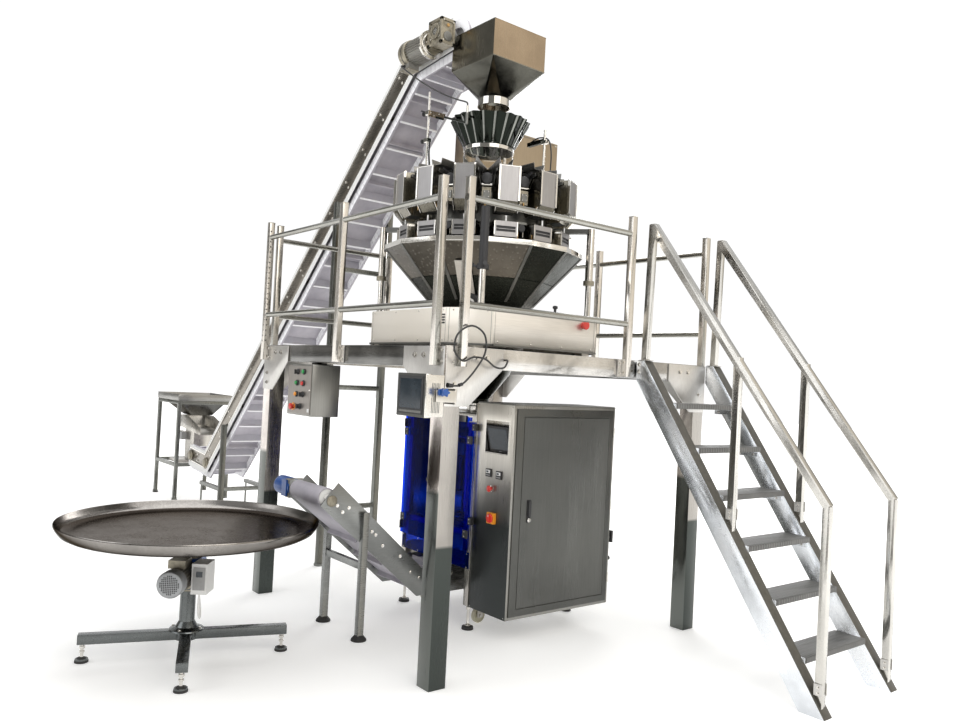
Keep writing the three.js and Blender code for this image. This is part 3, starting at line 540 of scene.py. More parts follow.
# ---- platform
# deck frame: +X faces take the lighter beam_x copy (painted light); faces looking down under the deck take dark
# (painted shade)
paint("deck_frame", [("deck", lambda q, n: n.z > 0.9 and q.z > 1795), ("dark", lambda q, n: n.z < -0.9 and q.z > 1770), ("beam_x", lambda q, n: n.x > 0.9)], "beam")
# legs: faces pointing along Y take the lighter leg_y copy, painted light on that side
for n_ in ("leg_front_right", "leg_front_left", "leg_rear_right", "leg_rear_left"):
    paint(n_, [("plate", lambda q, n: q.z > 1478 and (abs(abs(q.x) - 1127) < 1 or abs(abs(q.y) - 1112) < 1 or abs(q.x) < 1008 or abs(q.y) < 993)), ("leg_y", lambda q, n: abs(n.y) > 0.9)], "leg")
for n_ in ("guard_rail_front", "guard_rail_right", "guard_rail_rear", "guard_rail_left"):
    fx = "front" in n_ or "rear" in n_
    paint(n_, [("rail", (lambda q, n: (abs(q.z - 2020) < 19.5 or abs(q.z - 2585) < 19.5) and abs(abs(q.y) - 1133) < 19.3) if fx else (lambda q, n: (abs(q.z - 2020) < 19.5 or abs(q.z - 2585) < 19.5) and abs(abs(q.x) - 1148) < 19.3))], "post")

p = Part("platform_bolts")
for sx in (-1, 1):
    for sy in (-1, 1):
        for d in (190, 275):
            p.bolt((sx * (HX - d), sy * (HY + 7), 1748), (0, sy, 0), 12, 9)
            p.bolt((sx * (HX + 7), sy * (HY - d), 1748), (sx, 0, 0), 12, 9)
        for z in (1530, 1600):
            p.bolt((sx * (HX - 60), sy * (HY + 7), z), (0, sy, 0), 9, 7)
            p.bolt((sx * (HX + 7), sy * (HY - 60), z), (sx, 0, 0), 9, 7)
for fixed, posts_, ax in ((-1, [1060, 0, -1080], "x"), (1, [1070, 60, -1080], "x"), (1, [-1020, 270], "y"), (-1, [-1030, -70, 1030], "y")):
    for t in posts_:
        H = HY if ax == "x" else HX
        for z in (1712, 1775):
            for s_ in (-38, 38):
                if ax == "x":
                    p.bolt((t + s_, fixed * (H + 7.4), z), (0, fixed, 0), 7, 6)
                else:
                    p.bolt((fixed * (H + 7.4), t + s_, z), (fixed, 0, 0), 7, 6)
        if abs(t) < 700:
            if ax == "x":
                p.box((t - 56, min(fixed * (H + 0.6), fixed * (H + 7.2)), 1690), (t + 56, max(fixed * (H + 0.6), fixed * (H + 7.2)), 1798), "plate")
            else:
                p.box((min(fixed * (H + 0.6), fixed * (H + 7.2)), t - 56, 1690), (max(fixed * (H + 0.6), fixed * (H + 7.2)), t + 56, 1798), "plate")
p.done(0.0006)
p = Part("post_caps")
for fixed, posts_, ax in ((-1, [1060, 0, -1080], "x"), (1, [1070, 60, -1080], "x"), (1, [-1020, 270], "y"), (-1, [-1030, -70, 1030], "y")):
    for t in posts_:
        c_ = fixed * ((HY if ax == "x" else HX) + 27.8)
        q = (t, c_) if ax == "x" else (c_, t)
        p.box((q[0] - 21, q[1] - 21, 2690), (q[0] + 21, q[1] + 21, 2694), "bright")
for k in range(22):   # punched line on the far left corner post
    p.rod((-1080, -HY - 48, 1830 + k * 38), (-1080, -HY - 48.6, 1830 + k * 38), 5, "black", 12)
    p.rod((-1058, -HY - 36, 1830 + k * 38), (-1059.6, -HY - 36, 1830 + k * 38), 5, "black", 12)
for (z) in (2020, 2585):   # rail end plugs
    for x in (-1096, 1076):
        p.revolve([(0, 0), (19.6, 0), (19.6, 3), (0, 3)], "rail", (x if x < 0 else x, -HY - 28, z), (1 if x > 0 else -1, 0, 0), 24, closed=False)
    for y in (-1037, 287):
        p.revolve([(0, 0), (19.6, 0), (19.6, 3), (0, 3)], "rail", (HX + 28, y, z), (0, 1 if y > 0 else -1, 0), 24, closed=False)
p.done(0.0006)

# ---- stairs
# stringer faces pointing up or +X take the dark stair_top colour (painted shade); the sides take the very light stair
# colour (painted light)
paint("staircase", [("tread", lambda q, n: 470 <= q.y <= 1110 and q.z < 1760 and abs(n.y) < 0.5), ("stair_top", lambda q, n: n.z > 0.3 or n.x > 0.5)], "stair")
p = Part("stair_fixings")
for k in range(1, 7):
    z, x = 1800 - 257 * k, 1188 + 257 * k / 1.4173
    for y0, s_ in ((470.6, 1), (1109.4, -1)):   # angle cleats under the tread ends
        p.box((x - 150, min(y0, y0 + s_ * 34), z - 36), (x + 8, max(y0, y0 + s_ * 34), z - 32.3), "stair")
        p.box((x - 150, min(y0, y0 + s_ * 4), z - 66), (x + 8, max(y0, y0 + s_ * 4), z - 32.3), "stair")
        for dx in (-120, -25):
            p.bolt((x + dx, y0 + s_ * 4, z - 50), (0, s_, 0), 6, 5)
    p.box((x + 25, 474, z - 30), (x + 27.5, 1106, z - 3), "tread")   # folded nosing
for y in (430, 1150):
    p.box((1128, y - 30, 1801), (1206, y + 30, 1805), "plate")
    for xx, zz in ((1822, 905), (2388, 102)):
        p.box((xx - 3, y - 26, zz + 5), (xx + 43, y - 20.5, zz + 66), "plate")
        p.box((xx - 3, y + 20.5, zz + 5), (xx + 43, y + 26, zz + 66), "plate")
        for zz2 in (zz + 20, zz + 48):
            p.bolt((xx + 20, y - 26, zz2), (0, -1, 0), 6, 5)
for y, s_ in ((389.4, -1), (1190.6, 1)):
    for xx, zz in ((1150, 1730), (1150, 1775)):
        p.bolt((xx, y, zz), (0, s_, 0), 9, 7)
p.done(0.0008)

# ---- bag machine frame
paint("sealer_frame", [("blue", lambda q, n: 394 < q.z < 501 and -307 < q.y < -299 and abs(q.x) < 389), ("black", lambda q, n: q.z < 20.5 and abs(abs(q.x) - 375) < 39), ("bright", lambda q, n: q.z < 150 and abs(abs(q.x) - 375) < 12)], "sheet_v")
p = Part("sealer_fittings")
for x in (-375, 375):
    for y in (-272, 622):
        p.revolve([(0, 0), (39, 0), (39, 8), (34, 16), (18, 24), (0, 24)], "rubber", (x, y, 0), n=32, closed=False)
        p.revolve([(0, 0), (20, 0), (20, 4), (12, 10), (0, 10)], "bright", (x, y, 24), n=24, closed=False)
        p.rod((x, y, 30), (x, y, 156), 9, "bright", 16)
        p.rod((x, y, 128), (x, y, 144), 16, "bright", 6)
for x in (-300, 300):   # caster forks
    p.revolve([(0, 0), (30, 0), (30, 10), (24, 14), (0, 14)], "bright", (x, -127, 138), n=28, closed=False)
    for s_ in (-1, 1):
        p.prism("x", [(-127 - 14, 44), (-127 + 14, 44), (-127 + 24, 140), (-127 - 24, 140)], x + s_ * 18, x + s_ * 21.5, "bright")
        p.bolt((x + s_ * 21.5, -127, 52), (s_, 0, 0), 9, 8)
for x in (-336, 336):   # frame strips each side of the panes
    p.box((x - 14 if x > 0 else x - 50, -303, 500), (x + 50 if x > 0 else x + 14, -300.5, 1352), "sheet_v")
for z in (1316, 709):
    p.box((392, -331, z - 22), (424, -303, z + 22), "black")
    p.screw((408, -331, z + 12), (0, -1, 0), 3.5)
    p.screw((408, -331, z - 12), (0, -1, 0), 3.5)
for z in (1290, 560):
    p.box((-399, -331, z - 30), (-391.5, -303, z + 30), "black")
for x in (-372, -190, -12, 12, 190, 372):    # screws of the fixed lower pane
    for z in (405, 490):
        p.screw((x, -306.2, z), (0, -1, 0), 4.5)
p.box((-396, -262, 1384), (396, -256, 1399), "sheet_h")
p.done(0.0008)

for n_, s_ in (("guard_door_left", -1), ("guard_door_right", 1)):
    p = Part(n_ + "_pane", n_)
    a, b = sorted((s_ * 390, s_ * 1.5))
    p.box((a, -328, 505), (b, -320, 1345), "blue")
    p.done(0.0012, replaces=(n_,))
    p = Part(n_ + "_hardware", n_)
    e = s_ * 1.5 if s_ > 0 else -15
    p.box((min(s_ * 1.6, s_ * 12), -329.5, 505), (max(s_ * 1.6, s_ * 12), -318.5, 1345), "bright")
    for z in (620, 1230):   # hinge leaves
        x0, x1 = sorted((s_ * 389, s_ * 345))
        p.box((x0, -332, z - 26), (x1, -328.2, z + 26), "black")
        p.rod((s_ * 390, -326, z - 26), (s_ * 390, -326, z + 26), 5.5, "black", 14)
        for zz in (z - 14, z + 14):
            p.screw((s_ * 362, -332, zz), (0, -1, 0), 4)
    p.revolve([(0, 0), (11, 0), (9, 14), (16, 20), (19, 30), (15, 38), (0, 40)], "black", (s_ * 32, -328.2, 925), (0, -1, 0), 28, closed=False)
    p.done(0.0006)

p = Part("tube_and_shoulder")
p.revolve([(65, 700), (65, 1438), (61, 1438), (61, 700)], "bright", n=72)
rows_ = []
for k in range(72):    # forming shoulder: saddle-shaped collar
    a = 2 * math.pi * k / 72
    lift = 46 * math.cos(a + math.pi / 2)
    rows_.append([(66.5 * math.cos(a), 66.5 * math.sin(a), 1238 + lift), (70 * math.cos(a), 70 * math.sin(a), 1243 + lift), (104 * math.cos(a), 104 * math.sin(a), 1215 + 1.25 * lift), (150 * math.cos(a), 150 * math.sin(a), 1168 + 1.3 * lift), (150 * math.cos(a), 150 * math.sin(a), 1164 + 1.3 * lift), (102 * math.cos(a), 102 * math.sin(a), 1209 + 1.25 * lift)])
n6 = len(rows_[0])
p.raw([v for r_ in rows_ for v in r_], [(i * n6 + j, i * n6 + (j + 1) % n6, ((i + 1) % 72) * n6 + (j + 1) % n6, ((i + 1) % 72) * n6 + j) for i in range(72) for j in range(n6)], "bright")
p.box((-30, 66, 1095), (30, 261, 1130), "sheet_h")
p.box((-100, 66, 1128), (100, 130, 1136), "sheet_h")
p.done(0.0005, replaces=("forming_tube",))

for n_, s_ in (("pull_belt_left", -1), ("pull_belt_right", 1)):
    p = Part(n_ + "_run", n_)
    pts = []
    for k in range(24):
        a = math.pi * k / 23
        pts.append((s_ * 115 + 28.6 * math.cos(a), 1050 + 28.6 * math.sin(a)))
    for k in range(24):
        a = math.pi + math.pi * k / 23
        pts.append((s_ * 115 + 28.6 * math.cos(a), 850 + 28.6 * math.sin(a)))
    inner = [(s_ * 115 + (x - s_ * 115) * 0.84, (1050 if k < 24 else 850) + (z - (1050 if k < 24 else 850)) * 0.84) for k, (x, z) in enumerate(pts)]
    p.ring("y", pts, inner, -28, 28, "rubber")
    for z in (850, 1050):
        p.rod((s_ * 115, -25, z), (s_ * 115, 25, z), 23.5, "bright", 32)
        p.bolt((s_ * 115, -25, z), (0, -1, 0), 7, 4)
    x0, x1 = sorted((s_ * 100, s_ * 130))
    p.box((x0, -22, 872), (x1, 22, 1028), "sheet_v")
    p.box((x0, 20, 930), (x1, 261, 970), "cast")
    p.done(0.0008, replaces=(n_,))
for n_, s_ in (("jaw_front", -1), ("jaw_rear", 1)):
    p = Part(n_ + "_block", n_)
    y0, y1 = sorted((s_ * 92, s_ * 149))
    p.box((-275, y0, 591), (275, y1, 649), "dark")
    y0, y1 = sorted((s_ * 56, s_ * 91.5))
    p.box((-170, y0, 601), (170, y1, 639), "cast")
    for k in range(7):   # serrated seal face
        y0, y1 = sorted((s_ * 50.5, s_ * 56.2))
        p.box((-168, y0, 603 + k * 5), (168, y1, 606 + k * 5), "bright")
    for x in (-120, 0, 120):
        p.bolt((x, s_ * 149, 620), (0, s_, 0), 9, 6)
    for x in (-240, 240):
        p.revolve([(15, -2), (24, -2), (24, 4), (15, 4)], "copper", (x, s_ * 150 if s_ < 0 else 150, 620), (0, s_, 0), 28)
    p.sweep([(-60, s_ * 149, 640), (-60, s_ * 175, 660), (-90, s_ * 185, 700), (-150, s_ * 190, 720)], 4, "red", 8)
    p.done(0.0010, replaces=(n_,))
p = Part("wound_film_roll", "film_roll")
p.revolve([(42, -250), (136.5, -250), (138, -248), (138, 248), (136.5, 250), (42, 250)], "film", (0, 500, 450), (1, 0, 0), 96)
for k in range(9):
    for sx in (-1, 1):
        p.revolve([(52 + 9.4 * k, 0), (53 + 9.4 * k, 0), (53 + 9.4 * k, 0.5), (52 + 9.4 * k, 0.5)], "paper", (sx * 250, 500, 450), (sx, 0, 0), 64)
p.revolve([(26, -250.6), (42, -250.6), (42, 250.6), (26, 250.6)], "paper", (0, 500, 450), (1, 0, 0), 64)
p.done(0, replaces=("film_roll",))
p = Part("film_chucks", "film_roll")
for sx in (-1, 1):
    p.revolve([(20.6, 0), (25.5, 0), (25.5, 6), (60, 10), (60, 20), (34, 26), (20.6, 26)], "black", (sx * 250.9, 500, 450), (sx, 0, 0), 40)
p.done(0.0006)
p = Part("dancer_rollers", "dancer_bar")
p.revolve([(0, -330), (18, -330), (19, -322), (19, 322), (18, 330), (0, 330)], "bright", (0, 420, 820), (1, 0, 0), 40, closed=False)
p.revolve([(0, -345), (10, -345), (10, 345), (0, 345)], "bright", (0, 560, 900), (1, 0, 0), 28, closed=False)
for s_ in (-1, 1):
    a, b = sorted((s_ * 322, s_ * 334))
    p.prism("x", [(574, 886), (578, 900), (574, 914), (560, 919), (546, 914), (406, 834), (401, 820), (406, 806), (420, 801), (434, 806)], a, b, "sheet_h")
p.done(0.0008, replaces=("dancer_bar",))
for n_, x in (("caster_wheel_left", -300), ("caster_wheel_right", 300)):
    p = Part(n_ + "_tyre", n_)
    p.revolve([(8, -15), (22, -15), (24, -10), (38, -10), (40, -15), (46, -15), (50, -9), (50, 9), (46, 15), (40, 15), (38, 10), (24, 10), (22, 15), (8, 15)], "cream", (x, -127, 52), (1, 0, 0), 64)
    p.done(0.0006, replaces=(n_,))

# ---- side cabinet
p = Part("cabinet_door_panel", "cabinet_door")
Y0, Y1, Z0, Z1, X0, X1 = -280, 590, 175, 1460, 770.5, 788.0
bw = 46


def rect(y0, y1, z0, z1, x):
    return [(x, y0, z0), (x, y1, z0), (x, y1, z1), (x, y0, z1)]


v = rect(Y0, Y1, Z0, Z1, X0) + rect(Y0, Y1, Z0, Z1, X0 + 7) + rect(Y0 + bw, Y1 - bw, Z0 + bw, Z1 - bw, X1) + rect(Y0 + bw + 3, Y1 - bw - 3, Z0 + bw + 3, Z1 - bw - 3, X1 - 5) \
    + rect(Y0 + bw + 6, Y1 - bw - 6, Z0 + bw + 6, Z1 - bw - 6, X1 - 5) + rect(Y0 + bw + 7.5, Y1 - bw - 7.5, Z0 + bw + 7.5, Z1 - bw - 7.5, X1 - 0.6)
fcs = [(3, 2, 1, 0), (20, 21, 22, 23)]
for k in range(5):
    a, b = 4 * k, 4 * (k + 1)
    for i in range(4):
        j = (i + 1) % 4
        fcs.append((a + i, a + j, b + j, b + i))
p.raw(v, fcs, "cab_door")
p.done(0.0008, replaces=("cabinet_door",), angle=25)
p = Part("cabinet_door_lock", "cabinet_door")
p.box((787.6, -177, 752), (791, -143, 896), "black")
p.box((791, -171, 790), (800, -149, 889), "black")
p.revolve([(0, 0), (15, 0), (15, 5), (10, 11), (0, 11)], "bright", (790.5, -160, 770), (1, 0, 0), 32, closed=False)
p.box((800, -164, 768), (803, -156, 772), "bright")
p.done(0.0016)
p = Part("cabinet_door_hinges", "cabinet_door")
for z in (330, 820, 1310):
    p.rod((779, 596, z - 34), (779, 596, z + 34), 7, "bright", 20)
    p.box((772, 590.4, z - 30), (786, 594, z + 30), "bright")
p.done(0.0005)
p = Part("cabinet_controls")
p.box((497, -231.6, 1168), (725, -230.3, 1370), "sheet_v")
tilt = Matrix.Translation((611, -232, 1180)) @ Matrix.Rotation(math.radians(14), 4, "X")
p.box((-104, -34, 0), (104, -8, 172), "black", tilt)
p.box((-90, -35.4, 20), (90, -33.8, 158), "screen", tilt)
p.box((-12, -35.2, 8), (12, -34, 11), "grey", tilt)
p.box((497, -299, 1168), (725, -231, 1170.5), "bright")
for (a, b, c_, d) in ((495.5, 499, 1166.5, 1371.5), (723, 726.5, 1166.5, 1371.5)):
    p.box((a, -300.9, c_), (b, -232, d), "bright")
for x, z in ((550, 1041), (652, 1036)):    # temperature controllers
    p.box((x - 25, -309, z - 25), (x + 25, -300.6, z + 25), "black")
    p.box((x - 19, -310.2, z - 2), (x + 19, -308.6, z + 18), "white")
    p.box((x - 15, -310.8, z + 2), (x + 6, -310, z + 13), "screen")
    for k in range(4):
        p.box((x - 19 + k * 10, -310.4, z - 18), (x - 12 + k * 10, -308.8, z - 11), "grey")
p.revolve([(12.5, 0), (19, 0), (19, 4.2), (12.5, 4.2)], "bright", (583, -300.4, 944), (0, -1, 0), 36)
p.box((572, -322, 728), (640, -300.6, 796), "yellow")
p.done(0.0014)
p = Part("mains_switch_knob", "mains_switch")
p.revolve([(0, 22.4), (29, 22.4), (30, 24), (29, 30), (26, 32), (0, 32)], "red", (606, -300, 762), (0, -1, 0), 56, closed=False)
p.box((597, -338.2, 738), (615, -330, 786), "red")
p.box((603.5, -338.6, 772), (608.5, -338, 785), "white")
p.done(0.0018, replaces=("mains_switch",))
p = Part("stop_button_head", "stop_button")
p.revolve([(0, 5.5), (11.5, 5.5), (11.5, 16), (19, 18), (20.5, 22), (19.5, 27), (13, 30), (0, 31)], "red", (583, -300, 944), (0, -1, 0), 56, closed=False)
p.done(0.0004, replaces=("stop_button",))
p = Part("cabinet_trim")
for z, r_ in ((596, 18), (450, 14)):      # air inlet and cable gland at the back
    p.revolve([(0, 0), (r_ * 1.5, 0), (r_ * 1.5, 8), (r_, 12), (r_, 34), (r_ * 0.6, 40), (0, 40)], "black", (740, 610.4, z), (0, 1, 0), 28, closed=False)
p.box((742, 632, 560), (768, 650, 640), "black")
for x in (420, 755):
    for z in (170, 1466):
        p.screw((x, -300.4, z), (0, -1, 0), 4)
for k in range(9):    # vent louvres on the back sheet
    p.prism("x", [(610.2, 1180 + k * 22), (616, 1180 + k * 22), (610.2, 1192 + k * 22)], 480, 700, "cabinet")
p.box((398.5, -305, 160), (404.5, -262, 1474), "sheet_v")
p.box((404, -296, 1480.4), (768, 606, 1486), "cabinet")
p.done(0.0010)
# the cabinet's -Y front takes cab_front, a painted reflection: bright on top, dark low down
paint("side_cabinet", [("cab_front", lambda q, n: n.y < -0.9 and q.y < -299)], "cabinet")

for n_ in ("elevator_stand_upper", "elevator_stand_lower", "feeder_stand"):
    dress(n_, "stand")

# ---- weigher
WHITEISH = steel("satin_weigher_panel", (0.80, 0.765, 0.715), 0.38, 0.5, (0.02, 0.02, 1), smudge=0.05, bumpy=0.05)
M["panel"] = WHITEISH
# -Y faces of the weigher base take the lighter panel_y copy, painted light on that side
paint("weigher_base", [("panel_y", lambda q, n: n.y < -0.6)], "panel")
p = Part("weigher_base_trim")
octo = [(700, -450), (700, 450), (450, 620), (-450, 620), (-700, 450), (-700, -450), (-450, -620), (450, -620)]
for i in range(8):
    (xa, ya), (xb, yb) = octo[i], octo[(i + 1) % 8]
    L = math.hypot(xb - xa, yb - ya)
    ex, ey = (xb - xa) / L, (yb - ya) / L
    nx, ny = ey, -ex
    nb = 4 if L > 500 else 2
    for k in range(nb):
        t = 40 + (L - 80) * k / (nb - 1)
        for z in (1866, 2054):
            p.screw((xa + ex * t + nx * 0.4, ya + ey * t + ny * 0.4, z), (nx, ny, 0), 6)
    for t in (14, L - 14):     # panel joints
        p.box((-1.2, -0.5, 1853), (1.2, 0.5, 2067), "dark", Matrix.Translation((xa + ex * t + nx * 0.2, ya + ey * t + ny * 0.2, 0)) @ Matrix.Rotation(math.atan2(ey, ex), 4, "Z"))
    p.box((0, -10, 1838), (L, 3, 1850), "dark", Matrix.Translation((xa, ya, 0)) @ Matrix.Rotation(math.atan2(ey, ex), 4, "Z"))
for k in range(4):
    p.box((392, -623.4, 1968 + k * 17), (428, -620.2, 1978 + k * 17), "black")
p.revolve([(0, 0), (24, 0), (24, 14), (18, 14), (18, 18), (28, 20), (30, 26), (27, 32), (0, 35)], "red", (700.4, 330, 2026), (1, 0, 0), 40, closed=False)
for (x, y) in ((300, -540), (-300, -540), (620, 300), (620, -300)):   # lifting eyes and levellers
    p.revolve([(0, 0), (12, 0), (12, 6), (0, 6)], "bright", (x, y, 2070.4), n=24, closed=False)
p.rod((640, 120, 2071), (640, 120, 2120), 9, "black", 20)
p.revolve([(0, 0), (16, 0), (18, 14), (10, 20), (0, 20)], "black", (640, 120, 2120), n=28, closed=False)
p.done(0.0008)

HN = 14
p = Part("collecting_cone")
CR = [(286, 2078), (292, 2074), (380, 2160), (700, 2500), (700, 2530), (693, 2530), (693, 2503), (374, 2164)]


def cpt(k, r_, z):
    a = math.pi / HN + 2 * math.pi * k / HN
    return (r_ * math.cos(a), r_ * math.sin(a), z)


for k in range(HN):
    def quad(r0_, z0_, r1_, z1_, mat, inset=0.0, push=0.0):
        A, B, C, D = Vector(cpt(k, r0_, z0_)), Vector(cpt(k + 1, r0_, z0_)), Vector(cpt(k + 1, r1_, z1_)), Vector(cpt(k, r1_, z1_))
        am = math.pi / HN + 2 * math.pi * (k + 0.5) / HN
        out = Vector((math.cos(am) * (z1_ - z0_), math.sin(am) * (z1_ - z0_), -(r1_ - r0_))).normalized()
        A, B = A.lerp(B, inset), B.lerp(A, inset)
        D, C = D.lerp(C, inset), C.lerp(D, inset)
        top = [q + out * push for q in (A, B, C, D)]
        bot = [q + out * (push - 4) for q in (A, B, C, D)]
        p.raw(top + bot, [(0, 1, 2, 3), (7, 6, 5, 4), (0, 4, 5, 1), (1, 5, 6, 2), (2, 6, 7, 3), (3, 7, 4, 0)], mat)
    mid = 0.42
    rm, zm = 380 + (700 - 380) * mid, 2160 + (2500 - 2160) * mid
    front = -120 < math.degrees(math.pi / HN + 2 * math.pi * (k + 0.5) / HN - 2 * math.pi) < -5 or -120 < math.degrees(math.pi / HN + 2 * math.pi * (k + 0.5) / HN) < -5
    pa_ = (math.degrees(math.pi / HN + 2 * math.pi * (k + 0.5) / HN) + 180) % 360 - 180
    quad(rm + 2, zm + 2, 700, 2500, "cone" if -118 < pa_ < -22 else "cone_flat")
    quad(380, 2160, rm - 2, zm - 2, "cone_flat")
    quad(380, 2160, 700, 2500, "cone_flat", 0, -5)
    quad(292, 2074, 380, 2160, "cone_flat")
    quad(700, 2500, 700.5, 2530, "bright")
    a0, a1 = Vector(cpt(k, 380, 2160)), Vector(cpt(k, 701, 2501))
    q_ = Matrix.Translation(a0) @ (a1 - a0).to_track_quat("Z", "Y").to_matrix().to_4x4()
    ang = math.pi / HN + 2 * math.pi * k / HN
    w_ = Vector((-math.sin(ang), math.cos(ang), 0))
    d_ = (a1 - a0).normalized()
    o_ = Vector((d_.z * math.cos(ang), d_.z * math.sin(ang), -math.hypot(d_.x, d_.y)))
    vv = [a + w_ * s1 * 11 + o_ * s2 for a in (a0, a1) for s1, s2 in ((-1, -4), (1, -4), (1, 4), (-1, 4))]
    p.raw(vv, [(0, 1, 2, 3), (7, 6, 5, 4), (0, 4, 5, 1), (1, 5, 6, 2), (2, 6, 7, 3), (3, 7, 4, 0)], "dark")
p.revolve([(694, 2498), (706, 2498), (706, 2504), (702, 2506), (702, 2532), (694, 2532)], "bright", n=HN, phase=math.pi / HN)
p.revolve([(284, 2070), (296, 2070), (296, 2090), (284, 2090)], "bright", n=56)
p.done(0.0007, replaces=("weigher_cone",), angle=20)
# front access plate with a black outlet
p = Part("cone_outlet")
am = math.radians(-51.4)
cd, sd = math.cos(am), math.sin(am)
T_ = Matrix.Rotation(am, 4, "Z")
p.prism("y", [(392, 2158), (600, 2384), (596, 2390), (388, 2163)], -52, 52, "panel", T_)
p.revolve([(0, 0), (64, 0), (66, 6), (66, 60), (60, 66), (0, 66)], "black", (cd * 352 - sd * 20, sd * 352 + cd * 20, 2148), (cd, sd, -0.25), 40, closed=False)
p.revolve([(20, 0), (33, 0), (33, 8), (20, 8)], "white", (cd * 418 - sd * 20, sd * 418 + cd * 20, 2131), (cd, sd, -0.25), 36)
p.revolve([(0, 0), (20, 0), (20, 3), (0, 3)], "black", (cd * 418 - sd * 20, sd * 418 + cd * 20, 2131), (cd, sd, -0.25), 36, closed=False)
p.done(0.001)

p = Part("weigher_centre")
p.revolve([(0, 2600), (372, 2600), (380, 2612), (380, 2985), (366, 3004), (0, 3004)], "dark", n=84, closed=False)
p.revolve([(0, 3004), (300, 3004), (300, 3028), (0, 3028)], "sheet_h", n=56, closed=False)
p.revolve([(0, 3140), (20, 3139), (90, 3118), (185, 3082), (228, 3074), (228, 3070), (0, 3070)], "housing", n=84, closed=False)
for sx, sy in ((1, -1), (1, 1), (-1, 1), (-1, -1)):
    x, y = sx * 593, sy * 471
    p.rod((x, y, 2330), (x, y, 2706), 27.5, "black" if (sx, sy) == (1, -1) else "post", 36)
    p.rod((x, y, 2070.5), (x, y, 2330), 21, "bright", 36)
    p.revolve([(21, -16), (38, -16), (38, 16), (21, 16)], "black" if (sx, sy) == (1, -1) else "cast", (x, y, 2330), n=28)
    for s_ in (-1, 1) if (sx, sy) == (1, -1) else ():
        p.rod((x + s_ * 34, y - 20, 2330), (x + s_ * 62, y - 34, 2342), 8, "black", 14)
        p.revolve([(0, 0), (14, 0), (15, 10), (0, 12)], "black", (x + s_ * 58, y - 32, 2340), (s_, -0.4, 0.3), 20, closed=False)
    p.revolve([(21, 0), (52, 0), (52, 8), (30, 12), (21, 30)], "bright", (x, y, 2070.5), n=36)
    p.box((330, -20, 2672), (742, 20, 2706), "dark", Matrix.Rotation(math.atan2(y, x), 4, "Z"))
for k in range(HN):
    R_ = Matrix.Rotation(2 * math.pi * k / HN, 4, "Z")
    # vibrating trough: folded sheet, rising sides
    p.prism("x", [(-38, 3034), (38, 3034), (47, 3078), (44.5, 3078), (36, 3036.5), (-36, 3036.5), (-44.5, 3078), (-47, 3078)], 168, 545, "sheet_h", R_)
    p.prism("y", [(168, 3036), (200, 3036), (200, 3038), (168, 3060)], -38, 38, "sheet_h", R_)
    p.box((300, -30, 3006), (420, 30, 3033), "black", R_)
    for rr_ in (330, 395):
        p.screw((rr_ * math.cos(2 * math.pi * k / HN + 0.13), rr_ * math.sin(2 * math.pi * k / HN + 0.13), 3004.5), (0, 0, 1), 6)
p.done(0.0009, replaces=("weigher_core",))

p = Part("feed_buckets")
for k in range(HN):
    R_ = Matrix.Rotation(2 * math.pi * k / HN, 4, "Z")
    out_ = [(440, 3000), (640, 3000), (648, 2985), (648, 2782), (590, 2715), (500, 2715), (440, 2850)]
    for s_ in (-1, 1):
        a, b = sorted((s_ * 64, s_ * 66))
        p.prism("y", out_, a, b, "hopper", R_)
        # folded, polished front corners
        a, b = sorted((s_ * 60, s_ * 72))
        p.prism("y", [(636, 3006), (650, 3006), (656, 2996), (656, 2780), (640, 2772), (640, 3000)], a, b, "bright", R_)
        # hanger arms and gate link
        a, b = sorted((s_ * 73, s_ * 78))
        p.prism("y", [(520, 2990), (600, 2990), (604, 2972), (560, 2960), (524, 2900), (506, 2900)], a, b, "dark", R_)
        p.prism("y", [(622, 2768), (634, 2764), (596, 2712), (582, 2718)], a, b, "bright", R_)
    p.box((645, -60, 2776), (650.5, 60, 3004), "bucket", R_)
    p.prism("y", [(650, 2776), (645, 2778), (586, 2716), (591, 2713)], -63, 63, "hopper", R_)
    p.prism("y", [(440, 2848), (445, 2848), (504, 2716), (499, 2713)], -63, 63, "hopper", R_)
    p.box((440, -64, 2848), (443, 64, 2996), "hopper", R_)
    p.box((500, -61, 2716), (590, 61, 2719), "dark", R_)
    p.box((636, -66, 2998), (652, 66, 3002), "bright", R_)
    for s_ in (-1, 1):
        for zz in (2796, 2990):
            p.screw((R_ @ Vector((656.2, s_ * 66, zz))), (R_ @ Vector((1, 0, 0))), 3.2)
    # drive covers in the gaps
    G_ = Matrix.Rotation(2 * math.pi * (k + 0.5) / HN, 4, "Z")
    gd = G_ @ Vector((1, 0, 0))
    p.revolve([(0, 470), (40, 470), (40, 560), (34, 572), (16, 580), (0, 580)], "black", (0, 0, 2930), gd, 28, closed=False)
    p.box((456, -30, 2780), (566, 30, 2872), "cast", G_)
    p.box((566, -22, 2800), (572, 22, 2850), "dark", G_)
    for zz in (2808, 2842):
        p.screw(G_ @ Vector((572.4, 14, zz)), gd, 4)
        p.screw(G_ @ Vector((572.4, -14, zz)), gd, 4)
    for s_ in (-1, 1):
        p.prism("y", [(500, 2990), (600, 2996), (596, 2984), (520, 2950)], s_ * 34 - 2, s_ * 34 + 2, "black", G_)
    p.rod(G_ @ Vector((560, -34, 2890)), G_ @ Vector((560, 34, 2890)), 8, "bright", 14)
    p.rod(G_ @ Vector((574, -6, 2742)), G_ @ Vector((574, -6, 2790)), 6, "copper", 14)
p.revolve([(404, 2832), (456, 2832), (456, 2868), (404, 2868)], "dark", n=56)
p.done(0.0008, replaces=("feed_hopper_ring",), angle=25)

